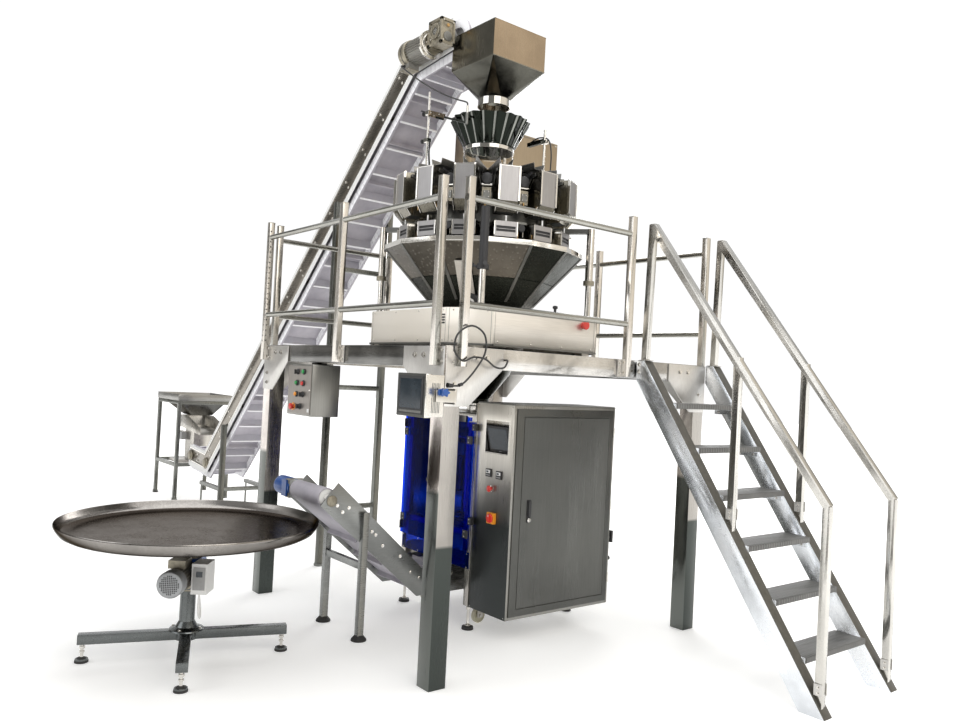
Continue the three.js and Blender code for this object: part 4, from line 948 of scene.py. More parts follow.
p = Part("weigh_buckets")
for k in range(HN):
    R_ = Matrix.Rotation(2 * math.pi * k / HN, 4, "Z")
    out_ = [(440, 2660), (612, 2660), (612, 2580), (560, 2515), (480, 2515), (440, 2580)]
    for s_ in (-1, 1):
        a, b = sorted((s_ * 70, s_ * 72))
        p.prism("y", out_, a, b, "hopper", R_)
        a, b = sorted((s_ * 73, s_ * 79))
        p.prism("y", [(560, 2650), (616, 2650), (616, 2560), (590, 2560), (590, 2630), (560, 2636)], a, b, "bright", R_)
    p.box((610, -78, 2552), (615, 78, 2584), "bucket", R_)
    p.box((610, -78, 2620), (615, 78, 2652), "bucket", R_)
    p.box((610.5, -64, 2600), (613.5, 64, 2604), "bucket", R_)
    p.box((610, -78, 2584), (615, -64, 2620), "bucket", R_)
    p.box((610, 64, 2584), (615, 78, 2620), "bucket", R_)
    p.box((596, -68, 2580), (607, 68, 2624), "black", R_)
    p.box((600, -5, 2648), (606, 5, 2690), "white", R_)
    p.prism("y", [(612, 2556), (608, 2560), (556, 2516), (560, 2513)], -70, 70, "hopper", R_)
    p.box((478, -70, 2513), (560, 70, 2516), "dark", R_)
    p.box((440, -70, 2580), (443, 70, 2658), "hopper", R_)
    G_ = Matrix.Rotation(2 * math.pi * (k + 0.5) / HN, 4, "Z")
    gd = G_ @ Vector((1, 0, 0))
    p.revolve([(0, 452), (30, 452), (30, 548), (24, 560), (0, 560)], "black", (0, 0, 2628), gd, 24, closed=False)
    p.rod(G_ @ Vector((540, -20, 2560)), G_ @ Vector((540, -20, 2612)), 5, "copper", 12)
    p.rod(G_ @ Vector((548, 14, 2570)), G_ @ Vector((548, 14, 2640)), 4, "bright", 12)
    p.box((500, -34, 2652), (560, 34, 2668), "dark", G_)
p.revolve([(404, 2602), (456, 2602), (456, 2628), (404, 2628)], "dark", n=56)
p.done(0.0008, replaces=("weigh_hopper_ring",), angle=25)

p = Part("clear_cylinder")
p.revolve([(174, 3145), (178, 3145), (178, 3271), (174, 3271)], "clear", n=96)
p.done(0.0004, replaces=("funnel_cylinder",))
p = Part("cylinder_brackets")
for k in (0, 5, 10):
    R_ = Matrix.Rotation(2 * math.pi * k / HN, 4, "Z")
    p.box((179, -10, 3079), (186, 10, 3180), "bright", R_)
    p.bolt(R_ @ Vector((186, 0, 3164)), R_ @ Vector((1, 0, 0)), 7, 5)
p.revolve([(178.4, 3246), (181.5, 3246), (181.5, 3271), (178.4, 3271)], "bright", n=96)
p.done(0.0005)
p = Part("fluted_funnel")
NF = 20
rows_ = []
for (r_, z, am_) in ((184, 3272.6, 0.3), (188, 3282, 1.6), (236, 3370, 5.2), (286, 3463, 8.0), (288, 3466, 8.0), (285, 3466, 8.0), (233, 3370, 5.2), (182, 3272.6, 0.3)):
    row = []
    for k in range(NF * 6):
        a = 2 * math.pi * k / (NF * 6)
        t = (k % 6) / 6.0
        row.append(((r_ - am_ * 2.2 * abs(2 * t - 1) ** 1.0) * math.cos(a), (r_ - am_ * 2.2 * abs(2 * t - 1) ** 1.0) * math.sin(a), z))
    rows_.append(row)
nn, nr = NF * 6, len(rows_)
# one facet in six takes the lighter flute colour, a painted highlight; the rest take the near-black mirror colour, a
# painted dark reflection
p.raw([v for row in rows_ for v in row], [(j * nn + i, j * nn + (i + 1) % nn, ((j + 1) % nr) * nn + (i + 1) % nn, ((j + 1) % nr) * nn + i) for j in range(nr) for i in range(nn) if i % 6 != 1], "mirror")
p.raw([v for row in rows_ for v in row], [(j * nn + i, j * nn + (i + 1) % nn, ((j + 1) % nr) * nn + (i + 1) % nn, ((j + 1) % nr) * nn + i) for j in range(nr) for i in range(nn) if i % 6 == 1], "flute")
bmesh.ops.remove_doubles(p.bm, verts=p.bm.verts, dist=0.02)
p.done(0, replaces=("top_funnel",), angle=9)
p = Part("timing_chute")
p.revolve([(92, 1440), (92, 1492), (228, 1668), (288, 1832), (288, 1847), (285, 1847), (285, 1834), (225, 1670), (89, 1494), (89, 1440)], "cone_flat", n=72)
p.revolve([(92.3, 1446), (101, 1446), (101, 1460), (92.3, 1460)], "bright", n=72)
p.done(0.0005, replaces=("discharge_chute",))
paint("control_housing", [("bright", lambda q, n: q.z < 3129)], "housing")
p = Part("housing_trim")
for y in (130, 980):
    for z in (3150, 3575):
        p.screw((-349.6, y, z), (1, 0, 0), 6)
        p.screw((-560.4, y, z), (-1, 0, 0), 6)
p.box((-349.8, 150, 3140), (-346.5, 960, 3145), "dark")
p.box((-349.8, 150, 3580), (-346.5, 960, 3583), "dark")
p.box((-566, 150, 3160), (-560.3, 960, 3570), "housing")      # rear door
p.revolve([(0, 0), (12, 0), (12, 12), (0, 12)], "black", (-566, 900, 3360), (-1, 0, 0), 24, closed=False)
for y in (300, 420, 540):    # cable glands underneath
    p.revolve([(0, 0), (18, 0), (18, 14), (12, 22), (0, 22)], "black", (-455, y, 3129.8), (0, 0, -1), 24, closed=False)
p.done(0.0008)
p = Part("level_sensors")
p.rod((-355, -294, 3012), (-355, -294, 3700), 8.5, "bright", 24)
for z in (3344, 3545):
    p.box((-378, -312, z - 14), (-332, -276, z + 14), "bright")
    p.rod((-378, -294, z), (-412, -294, z + 4), 6, "black", 14)
    p.revolve([(0, 0), (15, 0), (17, 12), (0, 16)], "black", (-408, -294, z + 3), (-1, 0, 0.1), 20, closed=False)
T_ = Matrix.Translation((-355, -296, 3545)) @ Matrix.Rotation(math.radians(20.2), 4, "Y")
p.box((-96, -7, -6), (0, 7, 6), "black", T_)
p.box((0, -5.5, -21.5), (212, 5.5, 21.5), "tan_and_lit_sheet", T_)
p.box((120, -9, -24), (214, -5, -8), "cone_flat", T_)
p.rod((-150, -297.5, 3469), (120, -300, 3370), 7.5, "cone_flat", 20)
p.rod((120, -300, 3360), (120, -300, 3440), 10, "dark", 24)
p.rod((120, -300, 3440), (120, -300, 3489), 8, "bright", 24)
for (px_, pz_) in ((40, 8), (90, -8), (150, 10)):
    p.screw(T_ @ Vector((px_, -6, pz_)), (0, -1, 0), 5)
p.sweep([(-330, -290, 3340), (-318, -300, 3250), (-330, -280, 3150), (-350, -250, 3050)], 7, "black", 10)
p.rod((300, 260, 3072), (300, 260, 3414), 8.5, "bright", 24)
p.box((278, 244, 3312), (330, 276, 3336), "bright")
p.box((130, 246, 3322), (300, 274, 3350), "cone_flat")
p.revolve([(0, 0), (16, 0), (16, 8), (0, 8)], "bright", (300, 260, 3070), n=24, closed=False)
p.sweep([(150, 262, 3352), (230, 268, 3372), (330, 268, 3340), (372, 262, 3240), (376, 258, 3100), (372, 255, 3020)], 5, "cable", 10)
p.done(0.0008, replaces=("level_sensor",))

# ---- head hopper
p = Part("head_hopper_shell")
for shell in (0, 1):
    hx_, rc = (230, 110) if shell == 0 else (227.5, 107.5)
    cnr = [(130 - hx_, -60 - hx_), (130 + hx_, -60 - hx_), (130 + hx_, -60 + hx_), (130 - hx_, -60 + hx_)]
    NA = 12
    circ = [[(30 + rc * math.cos(math.radians(225 + 90 * c0 - 45 + 90 * k / NA)), rc * math.sin(math.radians(225 + 90 * c0 - 45 + 90 * k / NA)), 3620) for k in range(NA + 1)] for c0 in range(4)]
    fl_ = (lambda f_: f_) if shell == 0 else (lambda f_: f_[::-1])
    for c0 in range(4):
        cx_, cy_ = cnr[c0]
        nx_, ny_ = cnr[(c0 + 1) % 4]
        for k in range(NA):      # cone fan at the corner, in the darker taper colour: painted shade
            p.raw([(cx_, cy_, 3780), circ[c0][k], circ[c0][k + 1]], [fl_((0, 1, 2))], "hopper_taper_shade")
        p.raw([(cx_, cy_, 3780), circ[c0][NA], (nx_, ny_, 3780)], [fl_((0, 1, 2))], "hopper_taper_shade")
        # the -Y wall keeps the hopper colour; the +X and +Y walls take the lighter tan copy, painted light on the lit
        # side
        if c0 != 3:
            p.raw([(cx_, cy_, 3780), (nx_, ny_, 3780), (nx_, ny_, 4022), (cx_, cy_, 4022)], [fl_((0, 1, 2, 3))], ("hopper", "tan_and_lit_sheet", "tan_and_lit_sheet", "hopper")[c0])
        else:
            p.raw([(cx_, cy_, 3780), (nx_, ny_, 3780), (nx_, ny_, 3800), (cx_, cy_, 3800)], [fl_((0, 1, 2, 3))], "hopper")
        for k in range(NA):
            a_, b_ = circ[c0][k], circ[c0][k + 1]
            p.raw([a_, b_, (b_[0], b_[1], 3570), (a_[0], a_[1], 3570)], [fl_((0, 3, 2, 1))[::-1]], "bright")
p.box((-101, -291, 4020), (361, -286, 4025), "hopper")
p.box((356, -290, 4020), (361, 171, 4025), "tan_and_lit_sheet")
p.box((-101, 166, 4020), (361, 171, 4025), "hopper")
bmesh.ops.remove_doubles(p.bm, verts=p.bm.verts, dist=0.02)
p.done(0, replaces=("head_hopper",), angle=4)
p = Part("head_hopper_trim")
p.revolve([(111, 3570), (113.5, 3570), (113.5, 3619), (111, 3619)], "bright", (30, 0, 0), n=72)
p.revolve([(111, 3566), (116, 3566), (116, 3572), (111, 3572)], "bright", (30, 0, 0), n=72)
for (a, b) in (((-98, -292), (361, -289.3)), ((359.3, -290), (362, 171)), ((130, 169.3), (361, 172))):
    p.box((a[0], a[1], 3777), (b[0], b[1], 3783), "hopper")
p.done(0.0006)

# ---- elevator drive
p = Part("head_gearbox")
gx0, gx1, gy0, gy1, gz0, gz1 = -196, -41, -440, -320, 3935, 4115
p.box((gx0 + 7, gy0 + 7, gz0 + 7), (gx1 - 7, gy1, gz1 - 7), "cast")
for (lx, ly) in ((gx0, gy0), (gx1 - 20, gy0), (gx0, gy1 - 16), (gx1 - 20, gy1 - 16)):
    p.box((lx, ly, gz0), (lx + 20, ly + 16, gz1), "cast")
for z in (gz0, gz1 - 20):
    p.box((gx0, gy0, z), (gx1, gy0 + 16, z + 20), "cast")
    p.box((gx1 - 18, gy0, z), (gx1, gy1, z + 20), "cast")
    p.box((gx0, gy0, z), (gx0 + 18, gy1, z + 20), "cast")
for k in range(3):
    p.box((gx0 + 20, gy0 + 2, gz0 + 48 + k * 38), (gx1 - 20, gy0 + 8, gz0 + 53 + k * 38), "cast")
p.revolve([(26, 0), (54, 0), (56, 4), (56, 9), (44, 11), (42, 5), (34, 5), (34, 9), (26, 9)], "cast", (-118, gy0 + 6, 4030), (0, -1, 0), 48)
p.revolve([(0, 0), (26, 0), (26, 3), (0, 3)], "dark", (-118, gy0 + 6, 4030), (0, -1, 0), 40, closed=False)
p.revolve([(9, 0), (18, 0), (18, 7), (9, 7)], "bright", (-118, gy0 + 5, 4030), (0, -1, 0), 32)
for k in range(4):
    a = math.pi / 4 + k * math.pi / 2
    p.bolt((-118 + 68 * math.cos(a), gy0 + 6.5, 4028 + 62 * math.sin(a)), (0, -1, 0), 6, 4, washer=False)
p.revolve([(0, 0), (34, 0), (34, 5), (22, 7), (0, 7)], "dark", (gx1 - 6.5, -378, 3992), (1, 0, 0), 36, closed=False)
p.revolve([(0, 0), (12, 0), (12, 5), (0, 5)], "copper", (gx1 - 6.5, -378, 4070), (1, 0, 0), 24, closed=False)
for dy, dz in ((-42, -70), (42, -70), (-42, 70), (42, 70)):
    p.bolt((gx1, -380 + dy, 4025 + dz), (1, 0, 0), 6, 4, washer=False)
p.revolve([(0, 0), (58, 0), (58, 29), (0, 29)], "dark", (-118, -320, 4025), (0, 1, 0), 40, closed=False)
mo = (-196, -394, 3975)
p.revolve([(0, -4), (78, -4), (78, 14), (102, 18), (102, 38), (92, 42), (0, 42)], "bright", mo, (-1, 0, 0), 64, closed=False)
for k in range(8):
    a = math.pi / 8 + k * math.pi / 4
    p.bolt((-214, -394 + 90 * math.cos(a), 3975 + 90 * math.sin(a)), (1, 0, 0), 6, 5, washer=False)
p.revolve([(0, 40), (78, 40), (78, 236), (0, 236)], "motor", mo, (-1, 0, 0), 48, closed=False)
for k in range(30):
    a = 2 * math.pi * k / 30
    p.box((-430, -1.6, 74), (-240, 1.6, 90), "motor", Matrix.Translation((0, -394, 3975)) @ Matrix.Rotation(a, 4, "X"))
p.revolve([(0, 232), (94, 232), (97, 238), (97, 300), (90, 320), (66, 332), (0, 334)], "cast", mo, (-1, 0, 0), 64, closed=False)
for k in range(3):
    p.revolve([(20 + k * 16, 332.6), (24 + k * 16, 332.6), (24 + k * 16, 334.4), (20 + k * 16, 334.4)], "dark", mo, (-1, 0, 0), 48)
p.revolve([(97.2, 270), (98.4, 270), (98.4, 276), (97.2, 276)], "black", mo, (-1, 0, 0), 48)
p.box((-528, -445, 3852), (-422, -355, 3898), "motor")
p.box((-530, -447, 3850), (-420, -353, 3856), "cast")
for dx_, dy_ in ((-520, -438), (-430, -438), (-520, -362), (-430, -362)):
    p.screw((dx_, dy_, 3850), (0, 0, -1), 4)
p.rod((-475, -445, 3875), (-475, -452, 3875), 12, "black", 20)
p.done(0.0016, replaces=("elevator_gearmotor",))
p = Part("head_drum", "elevator_drum")
p.revolve([(0, -285), (20, -285), (20, -236), (71, -236), (71, 116), (20, 116), (20, 170), (0, 170)], "grey", (-100, 0, 4030), (0, 1, 0), 64, closed=False)
p.done(0.0008, replaces=("elevator_drum",))

# ---- elevator belt and frame
EL = [(-4900, 565), (-4380, 525), (-620, 3980), (-100, 4030)]


def offset(path, d):
    out = []
    for i, q in enumerate(path):
        def dr(a, b):
            L = math.hypot(b[0] - a[0], b[1] - a[1])
            return ((b[0] - a[0]) / L, (b[1] - a[1]) / L)
        e0 = dr(path[max(0, i - 1)], path[max(1, i)])
        e1 = dr(path[min(len(path) - 2, i)], path[min(len(path) - 1, i + 1)])
        n0, n1 = (-e0[1], e0[0]), (-e1[1], e1[0])
        k = 1 / (1 + n0[0] * n1[0] + n0[1] * n1[1])
        out.append((q[0] + d * (n0[0] + n1[0]) * k, q[1] + d * (n0[1] + n1[1]) * k))
    return out


def strip(path, d0, d1):
    a, b = offset(path, d0), offset(path, d1)
    return a + b[::-1]


p = Part("elevator_side_strips")
for y0, y1 in ((-293.5, -290.6), (170.6, 173.5)):
    for (d0, d1, mat) in ((112, 142, "white"), (-94, -42, "white"), (100, 111, "bright"), (-41, -30, "bright")):
        for i in range(3):
            o_ = strip(EL, d0, d1)
            q4 = [o_[i], o_[i + 1], o_[7 - i - 1], o_[7 - i]]
            p.prism("y", q4, y0, y1, mat)
n_b = 0
for i in range(3):
    (xa, za), (xb, zb) = EL[i], EL[i + 1]
    L = math.hypot(xb - xa, zb - za)
    ex, ez = (xb - xa) / L, (zb - za) / L
    m_ = max(1, int(L / 320))
    for k in range(m_):
        t = L * (k + 0.5) / m_
        for d in (0, 70):
            p.bolt((xa + ex * t - ez * d, -290.4, za + ez * t + ex * d), (0, -1, 0), 8, 6)
            p.bolt((xa + ex * t - ez * d, 170.4, za + ez * t + ex * d), (0, 1, 0), 8, 6)
for (x, z) in ((-4380, 525), (-4860, 562)):      # round cast bearings at the bend and the tail
    for y, s_ in ((-290.6, -1), (170.6, 1)):
        p.revolve([(0, 0), (62, 0), (62, 8), (46, 14), (46, 22), (24, 26), (0, 26)], "cast", (x, y, z + 20), (0, s_, 0), 40, closed=False)
        for k in range(4):
            a = math.pi / 4 + k * math.pi / 2
            p.bolt((x + 54 * math.cos(a), y + s_ * 8, z + 20 + 54 * math.sin(a)), (0, s_, 0), 6, 5)
p.done(0.0007)
p = Part("elevator_flights")
for i in range(3):
    (xa, za), (xb, zb) = EL[i], EL[i + 1]
    L = math.hypot(xb - xa, zb - za)
    ex, ez = (xb - xa) / L, (zb - za) / L
    m_ = max(1, int(L / 250))
    for k in range(m_):
        t = L * (k + 0.5) / m_
        for s_ in (-1, 1):      # a flight is a moulded bar with a leaning blade
            def F(a, b):
                return (xa + ex * (t + a) - ez * b * s_, za + ez * (t + a) + ex * b * s_)
            p.prism("y", [F(-14, 83), F(14, 83), F(6, 96), F(2 + 26 * s_, 137), F(-4 + 26 * s_, 137), F(-6, 96)], -234, 114, "cleat")
            # a near-white bar on each flight tip: a painted highlight line along the flight edge
            p.prism("y", [F(-9 + 26 * s_, 137.5), F(7 + 26 * s_, 137.5), F(7 + 26 * s_, 144), F(-9 + 26 * s_, 144)], -234, 114, "belt_edge_white_lit")
p.done(0.0015)
p = Part("elevator_side_skirts")
for y0, y1 in ((-256.2, -254.4), (134.4, 136.2)):      # corrugated belt edges
    pass
wav = offset(EL, 112)
for y_ in (-245, 125):
    for s_ in (-1, 1):
        pts = []
        for i in range(3):
            (xa, za), (xb, zb) = EL[i], EL[i + 1]
            L = math.hypot(xb - xa, zb - za)
            ex, ez = (xb - xa) / L, (zb - za) / L
            m_ = int(L / 13)
            for k in range(m_ + 1):
                t = L * k / m_
                pts.append((xa + ex * t, za + ez * t, ex, ez, 8.5 * math.sin(k * math.pi / 2)))
        vs, fc = [], []
        for (x, z, ex, ez, w_) in pts:
            for d in (84, 138):
                for th in (-1.4, 1.4):
                    vs.append((x - ez * d * s_, y_ + w_ + th, z + ex * d * s_))
        for k in range(len(pts) - 1):
            a, b = 4 * k, 4 * k + 4
            fc += [(a, a + 2, b + 2, b), (a + 1, b + 1, b + 3, a + 3), (a + 2, a + 3, b + 3, b + 2), (a, b, b + 1, a + 1)]
        fc += [(0, 1, 3, 2), (len(vs) - 4, len(vs) - 2, len(vs) - 1, len(vs) - 3)]
        p.raw(vs, fc, "belt")
p.done(0, angle=60)
for n_ in ("elevator_frame",):
    dress(n_, "el_side")

# ---- infeed
# feeder hopper: faces looking down take the darker copy, painted shade underneath
paint("feeder_hopper", [("feed_underside_shade", lambda q, n: n.z < -0.2)], "sheet_h")
p = Part("infeed_trim")
for y in (-330, 330):
    for x in (-6030, -5270):
        p.revolve([(0, 0), (34, 0), (30, 14), (12, 26), (12, 60), (0, 60)], "rubber", (x + (24 if x < -5500 else -24), y * 0.93, 0), n=24, closed=False)
p.box((-5780, -170, 700), (-5560, 150, 790), "grey")
for k in range(5):
    p.revolve([(16, 0), (20, 0), (20, 6), (16, 6)], "bright", (-5740 + k * 40, -120, 792), n=18)
p.done(0.001)
# ---- take-off conveyor
TO = [(40, 300), (-530, 300), (-1250, 878)]
paint("takeoff_frame", [("bluepaint", lambda q, n: q.x < -250), ("cast", lambda q, n: q.x < -216 and q.y < -1180)], "take")
p = Part("takeoff_trim")
for (y, z) in ((-1210, 848), (-1185, 829), (-1147, 788), (-1105, 812), (-933, 654), (-905, 632), (-850, 560), (-716, 482), (-629, 372), (-560, 330), (-300, 330), (-60, 300)):
    for s_ in (-1, 1):
        p.bolt((s_ * 210.4, y, z), (s_, 0, 0), 8, 5)
for s_ in (-1, 1):
    p.revolve([(0, 0), (34, 0), (34, 6), (22, 12), (0, 12)], "cast", (s_ * 210.4, -1225, 858), (s_, 0, 0), 36, closed=False)
    # adjustable feet under the legs
    p.revolve([(0, 0), (48, 0), (47, 10), (30, 30), (14, 36), (0, 36)], "rubber", (s_ * 228, -1000, 0), n=36, closed=False)
    p.rod((s_ * 228, -1000, 34), (s_ * 228, -1000, 170), 10, "bright", 20)
    p.rod((s_ * 228, -1000, 120), (s_ * 228, -1000, 136), 18, "bright", 6)
# belt flights
for i in range(2):
    (ya, za), (yb, zb) = TO[i], TO[i + 1]
    L = math.hypot(yb - ya, zb - za)
    ey, ez = (yb - ya) / L, (zb - za) / L
    m_ = int(L / 230)
    for k in range(m_):
        t = L * (k + 0.6) / m_

        def F(a, b):
            return (ya + ey * (t + a) + ez * b, za + ez * (t + a) - ey * b)
        p.prism("x", [F(-5, 52), F(5, 52), F(2.5, 84), F(-2.5, 84)], -180, 180, "cleat")
p.done(0.0009)
p = Part("takeoff_drive")
c_ = (-214, -1250, 878)
p.revolve([(0, 0), (58, 0), (58, 20), (50, 28), (50, 44), (0, 44)], "bluepaint", c_, (-1, 0, 0), 48, closed=False)
p.box((-300, -1312, 826), (-234, -1188, 930), "bluepaint")
p.revolve([(0, 84), (58, 84), (60, 88), (60, 196), (52, 204), (0, 206)], "bluepaint", c_, (-1, 0, 0), 48, closed=False)
for k in range(20):
    a = 2 * math.pi * k / 20
    p.box((-396, -1.3, 52), (-306, 1.3, 60), "bluepaint", Matrix.Translation((0, -1250, 878)) @ Matrix.Rotation(a, 4, "X"))
p.revolve([(20, 0), (46, 0), (46, 2), (20, 2)], "white", (-418.6, -1250, 878), (-1, 0, 0), 40)
p.done(0.0012)
p = Part("takeoff_roller_sleeve", "takeoff_roller")
p.revolve([(0, -203), (20, -203), (20, -192), (49.3, -192), (49.3, 192), (20, 192), (20, 203), (0, 203)], "white", (0, -1250, 878), (1, 0, 0), 64, closed=False)
p.done(0.0006, replaces=("takeoff_roller",))

# ---- packing table
TC = Vector((-17, -1972, 0))
p = Part("table_dish", "table_disc")
p.revolve([(0, 703), (610, 703), (636, 706), (662, 718), (681, 738), (691, 756), (697, 763), (700, 758), (699, 750), (690, 732), (672, 708), (646, 694), (612, 689), (0, 689)], "disc", TC, n=160, closed=False)
# rim and inner wall faces take the lighter rim colour: painted highlight
k_ = p.idx("disc_rim_highlight")
for f_ in p.bm.faces:
    c_ = f_.calc_center_median()
    if c_.z > 712 or (math.hypot(c_.x - TC.x, c_.y - TC.y) > 625 and c_.z < 712):
        f_.material_index = k_
p.done(0, replaces=("table_disc",), angle=50)
p = Part("table_dish_hub", "table_disc")
p.revolve([(0, 660), (150, 660), (150, 668), (60, 674), (60, 688.6), (0, 688.6)], "dark", TC, n=60, closed=False)
for k in range(4):
    p.box((0, -18, 676), (560, 18, 688.6), "sheet_h", Matrix.Translation(TC) @ Matrix.Rotation(k * math.pi / 2 + 0.3, 4, "Z"))
p.done(0.0008)
p = Part("table_drive")
ma = math.radians(-38)
dx, dy = math.cos(ma), math.sin(ma)
R_ = Matrix.Translation((TC.x, TC.y, 0)) @ Matrix.Rotation(ma, 4, "Z")
p.box((-68, -78, 402), (70, 70, 556), "bluepaint", R_)
for k in range(4):
    p.box((-60, -80, 420 + k * 34), (60, -77, 426 + k * 34), "bluepaint", R_)
p.revolve([(0, 0), (62, 0), (62, 14), (40, 22), (30, 60), (0, 60)], "cast", (TC.x, TC.y, 556), n=48, closed=False)
p.rod((TC.x, TC.y, 600), (TC.x, TC.y, 662), 22, "bright", 32)
p.revolve([(0, 66), (80, 66), (80, 82), (70, 86), (0, 86)], "cast", (TC.x, TC.y, 470), (dx, dy, 0), 56, closed=False)
p.revolve([(0, 86), (58, 86), (58, 250), (0, 250)], "motor", (TC.x, TC.y, 470), (dx, dy, 0), 48, closed=False)
for k in range(26):
    a = 2 * math.pi * k / 26
    p.box((92, -1.3, 56), (240, 1.3, 67), "motor", Matrix.Translation((TC.x, TC.y, 470)) @ Matrix.Rotation(ma, 4, "Z") @ Matrix.Rotation(a, 4, "X"))
p.revolve([(62, 240), (71, 240), (71, 300), (66, 308), (58, 310), (0, 310), (0, 306), (56, 306), (62, 300)], "alu", (TC.x, TC.y, 470), (dx, dy, 0), 56, closed=False)
for gy in range(-5, 6):      # punched fan cover
    for gz in range(-5, 6):
        if math.hypot(gy, gz) < 5.1:
            q = R_ @ Vector((310.2, gy * 9.6, 470 + gz * 9.6))
            p.rod(q, q + Vector((dx, dy, 0)) * 0.5, 3.9, "black", 8)
p.box((110, -46, 534), (215, 46, 578), "cast", R_)
# speed inverter on a plate
p.box((60, 74, 396), (190, 158, 560), "white", R_)
p.box((190, 84, 420), (194, 148, 540), "grey", R_)
p.box((194, 100, 490), (195, 134, 520), "screen", R_)
p.sweep([R_ @ Vector((150, 110, 396)), R_ @ Vector((158, 108, 330)), R_ @ Vector((150, 112, 268)), R_ @ Vector((138, 116, 262)), R_ @ Vector((128, 112, 300)), R_ @ Vector((130, 100, 396))], 5, "white", 10)
p.done(0.0014, replaces=("table_gearmotor",))
dress("table_base", "table_leg", 0.003)
p = Part("table_feet")
for adeg in (-20.9, 70.6, 160, 250.7):
    a = math.radians(adeg)
    x, y = TC.x + 525 * math.cos(a), TC.y + 525 * math.sin(a)
    p.revolve([(0, 0), (36, 0), (36, 10), (22, 24), (12, 28), (0, 28)], "rubber", (x, y, 0), n=36, closed=False)
    p.rod((x, y, 26), (x, y, 100), 9, "bright", 20)
    p.rod((x, y, 74), (x, y, 88), 16, "bright", 6)
    p.rod((x, y, 52), (x, y, 62), 15, "bright", 6)
p.revolve([(42.5, 150), (96, 150), (92, 158), (60, 170), (42.5, 200)], "table_leg", TC, n=56)
for k in range(4):
    a = math.pi / 4 + k * math.pi / 2
    p.bolt((TC.x + 78 * math.cos(a), TC.y + 78 * math.sin(a), 160), (0, 0, 1), 8, 7)
p.revolve([(42.5, 380), (80, 380), (80, 400), (42.5, 400)], "cast", TC, n=48)
p.done(0.0008)

# ---- control box
dress("control_box", "cabinet", 0.003)
p = Part("control_box_buttons")
cy = -1160.6
for (x0_, x1_, z0_, z1_) in ((-588, -515, 1342, 1658), (-485, -262, 1342, 1658), (-515, -485, 1342, 1370), (-515, -485, 1400, 1658)):
    p.box((x0_, cy - 4, z0_), (x1_, cy, z1_), "cbox_plate")


def knob(x, z, mat, kind):
    p.revolve([(0, 0), (20, 0), (20, 5), (15, 9), (0, 9)], "black" if mat != "bright" else "bright", (x, cy - 4, z), (0, -1, 0), 30, closed=False)
    if kind == "push":
        p.revolve([(0, 9), (13, 9), (13, 16), (11, 18), (0, 18)], mat, (x, cy - 4, z), (0, -1, 0), 28, closed=False)
    else:
        p.revolve([(0, 9), (15, 9), (14, 20), (0, 20)], mat, (x, cy - 4, z), (0, -1, 0), 28, closed=False)
        p.box((x - 4, cy - 32, z - 15), (x + 4, cy - 20, z + 15), mat)


for (x, z, mat, kind) in ((-450, 1618, "black", "turn"), (-360, 1620, "green", "push"), (-455, 1545, "green", "push"), (-366, 1543, "red", "push"), (-458, 1470, "yellow", "push"), (-368, 1470, "black", "turn"), (-400, 1390, "black", "turn")):
    knob(x, z, mat, kind)
p.revolve([(14.5, 0), (27, 0), (27, 0.8), (14.5, 0.8)], "yellow", (-500, cy - 4, 1385), (0, -1, 0), 36)
p.screw((-276, cy - 4, 1500), (0, -1, 0), 8)
p.box((-300, cy - 4.6, 1356), (-272, cy - 4, 1380), "white")
p.done(0.0008)
p = Part("control_box_stop_head", "control_box_stop")
blo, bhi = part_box("control_box_stop")
bc = [(a + b) * 500 for a, b in zip(blo, bhi)]
bx, bz = bc[0] - OFF.x * 1000, bc[2]
byf, byb = blo[1] * 1000 - OFF.y * 1000, bhi[1] * 1000 - OFF.y * 1000
dep = byb - byf
p.revolve([(0, 0), (12, 0), (12, dep * 0.45), (21, dep * 0.52), (22, dep * 0.7), (20, dep * 0.92), (12, dep), (0, dep + 0.3)], "red", (bx, byb, bz), (0, -1, 0), 48, closed=False)
p.done(0.0003, replaces=("control_box_stop",))

# ---- touch terminal
p = Part("hmi_face", "hmi_terminal")
p.box((983, -1303.2, 1427), (1231, -1300.3, 1644), "cab_door")
p.box((996, -1306, 1440), (1218, -1303, 1632), "black")
p.box((1012, -1307.2, 1468), (1202, -1305.8, 1618), "screen")
p.box((1008, -1306.9, 1446), (1206, -1305.8, 1458), "dark")
p.box((1231.6, -1296, 1430), (1233.2, -1188, 1641), "bright")
for k in range(6):
    p.box((1232.4, -1262 + k * 9, 1450), (1233.6, -1257 + k * 9, 1600), "dark")
for (z) in (1556,):
    for x in (1234, 1270):
        p.revolve([(0, 0), (10, 0), (10, 8), (17, 10), (18, 20), (16, 26), (0, 28)], "bluepaint", (x, -1218, z), (1, 0, 0), 24, closed=False)
        for k in range(5):
            a = 2 * math.pi * k / 5
            p.rod((x + 18, -1218 + 16 * math.cos(a), z + 16 * math.sin(a)), (x + 27, -1218 + 16 * math.cos(a), z + 16 * math.sin(a)), 6, "bluepaint", 14)
p.done(0.0014)
paint("hmi_terminal", [("bright", lambda q, n: n.x > 0.9 and q.x > 1225)], "dark")

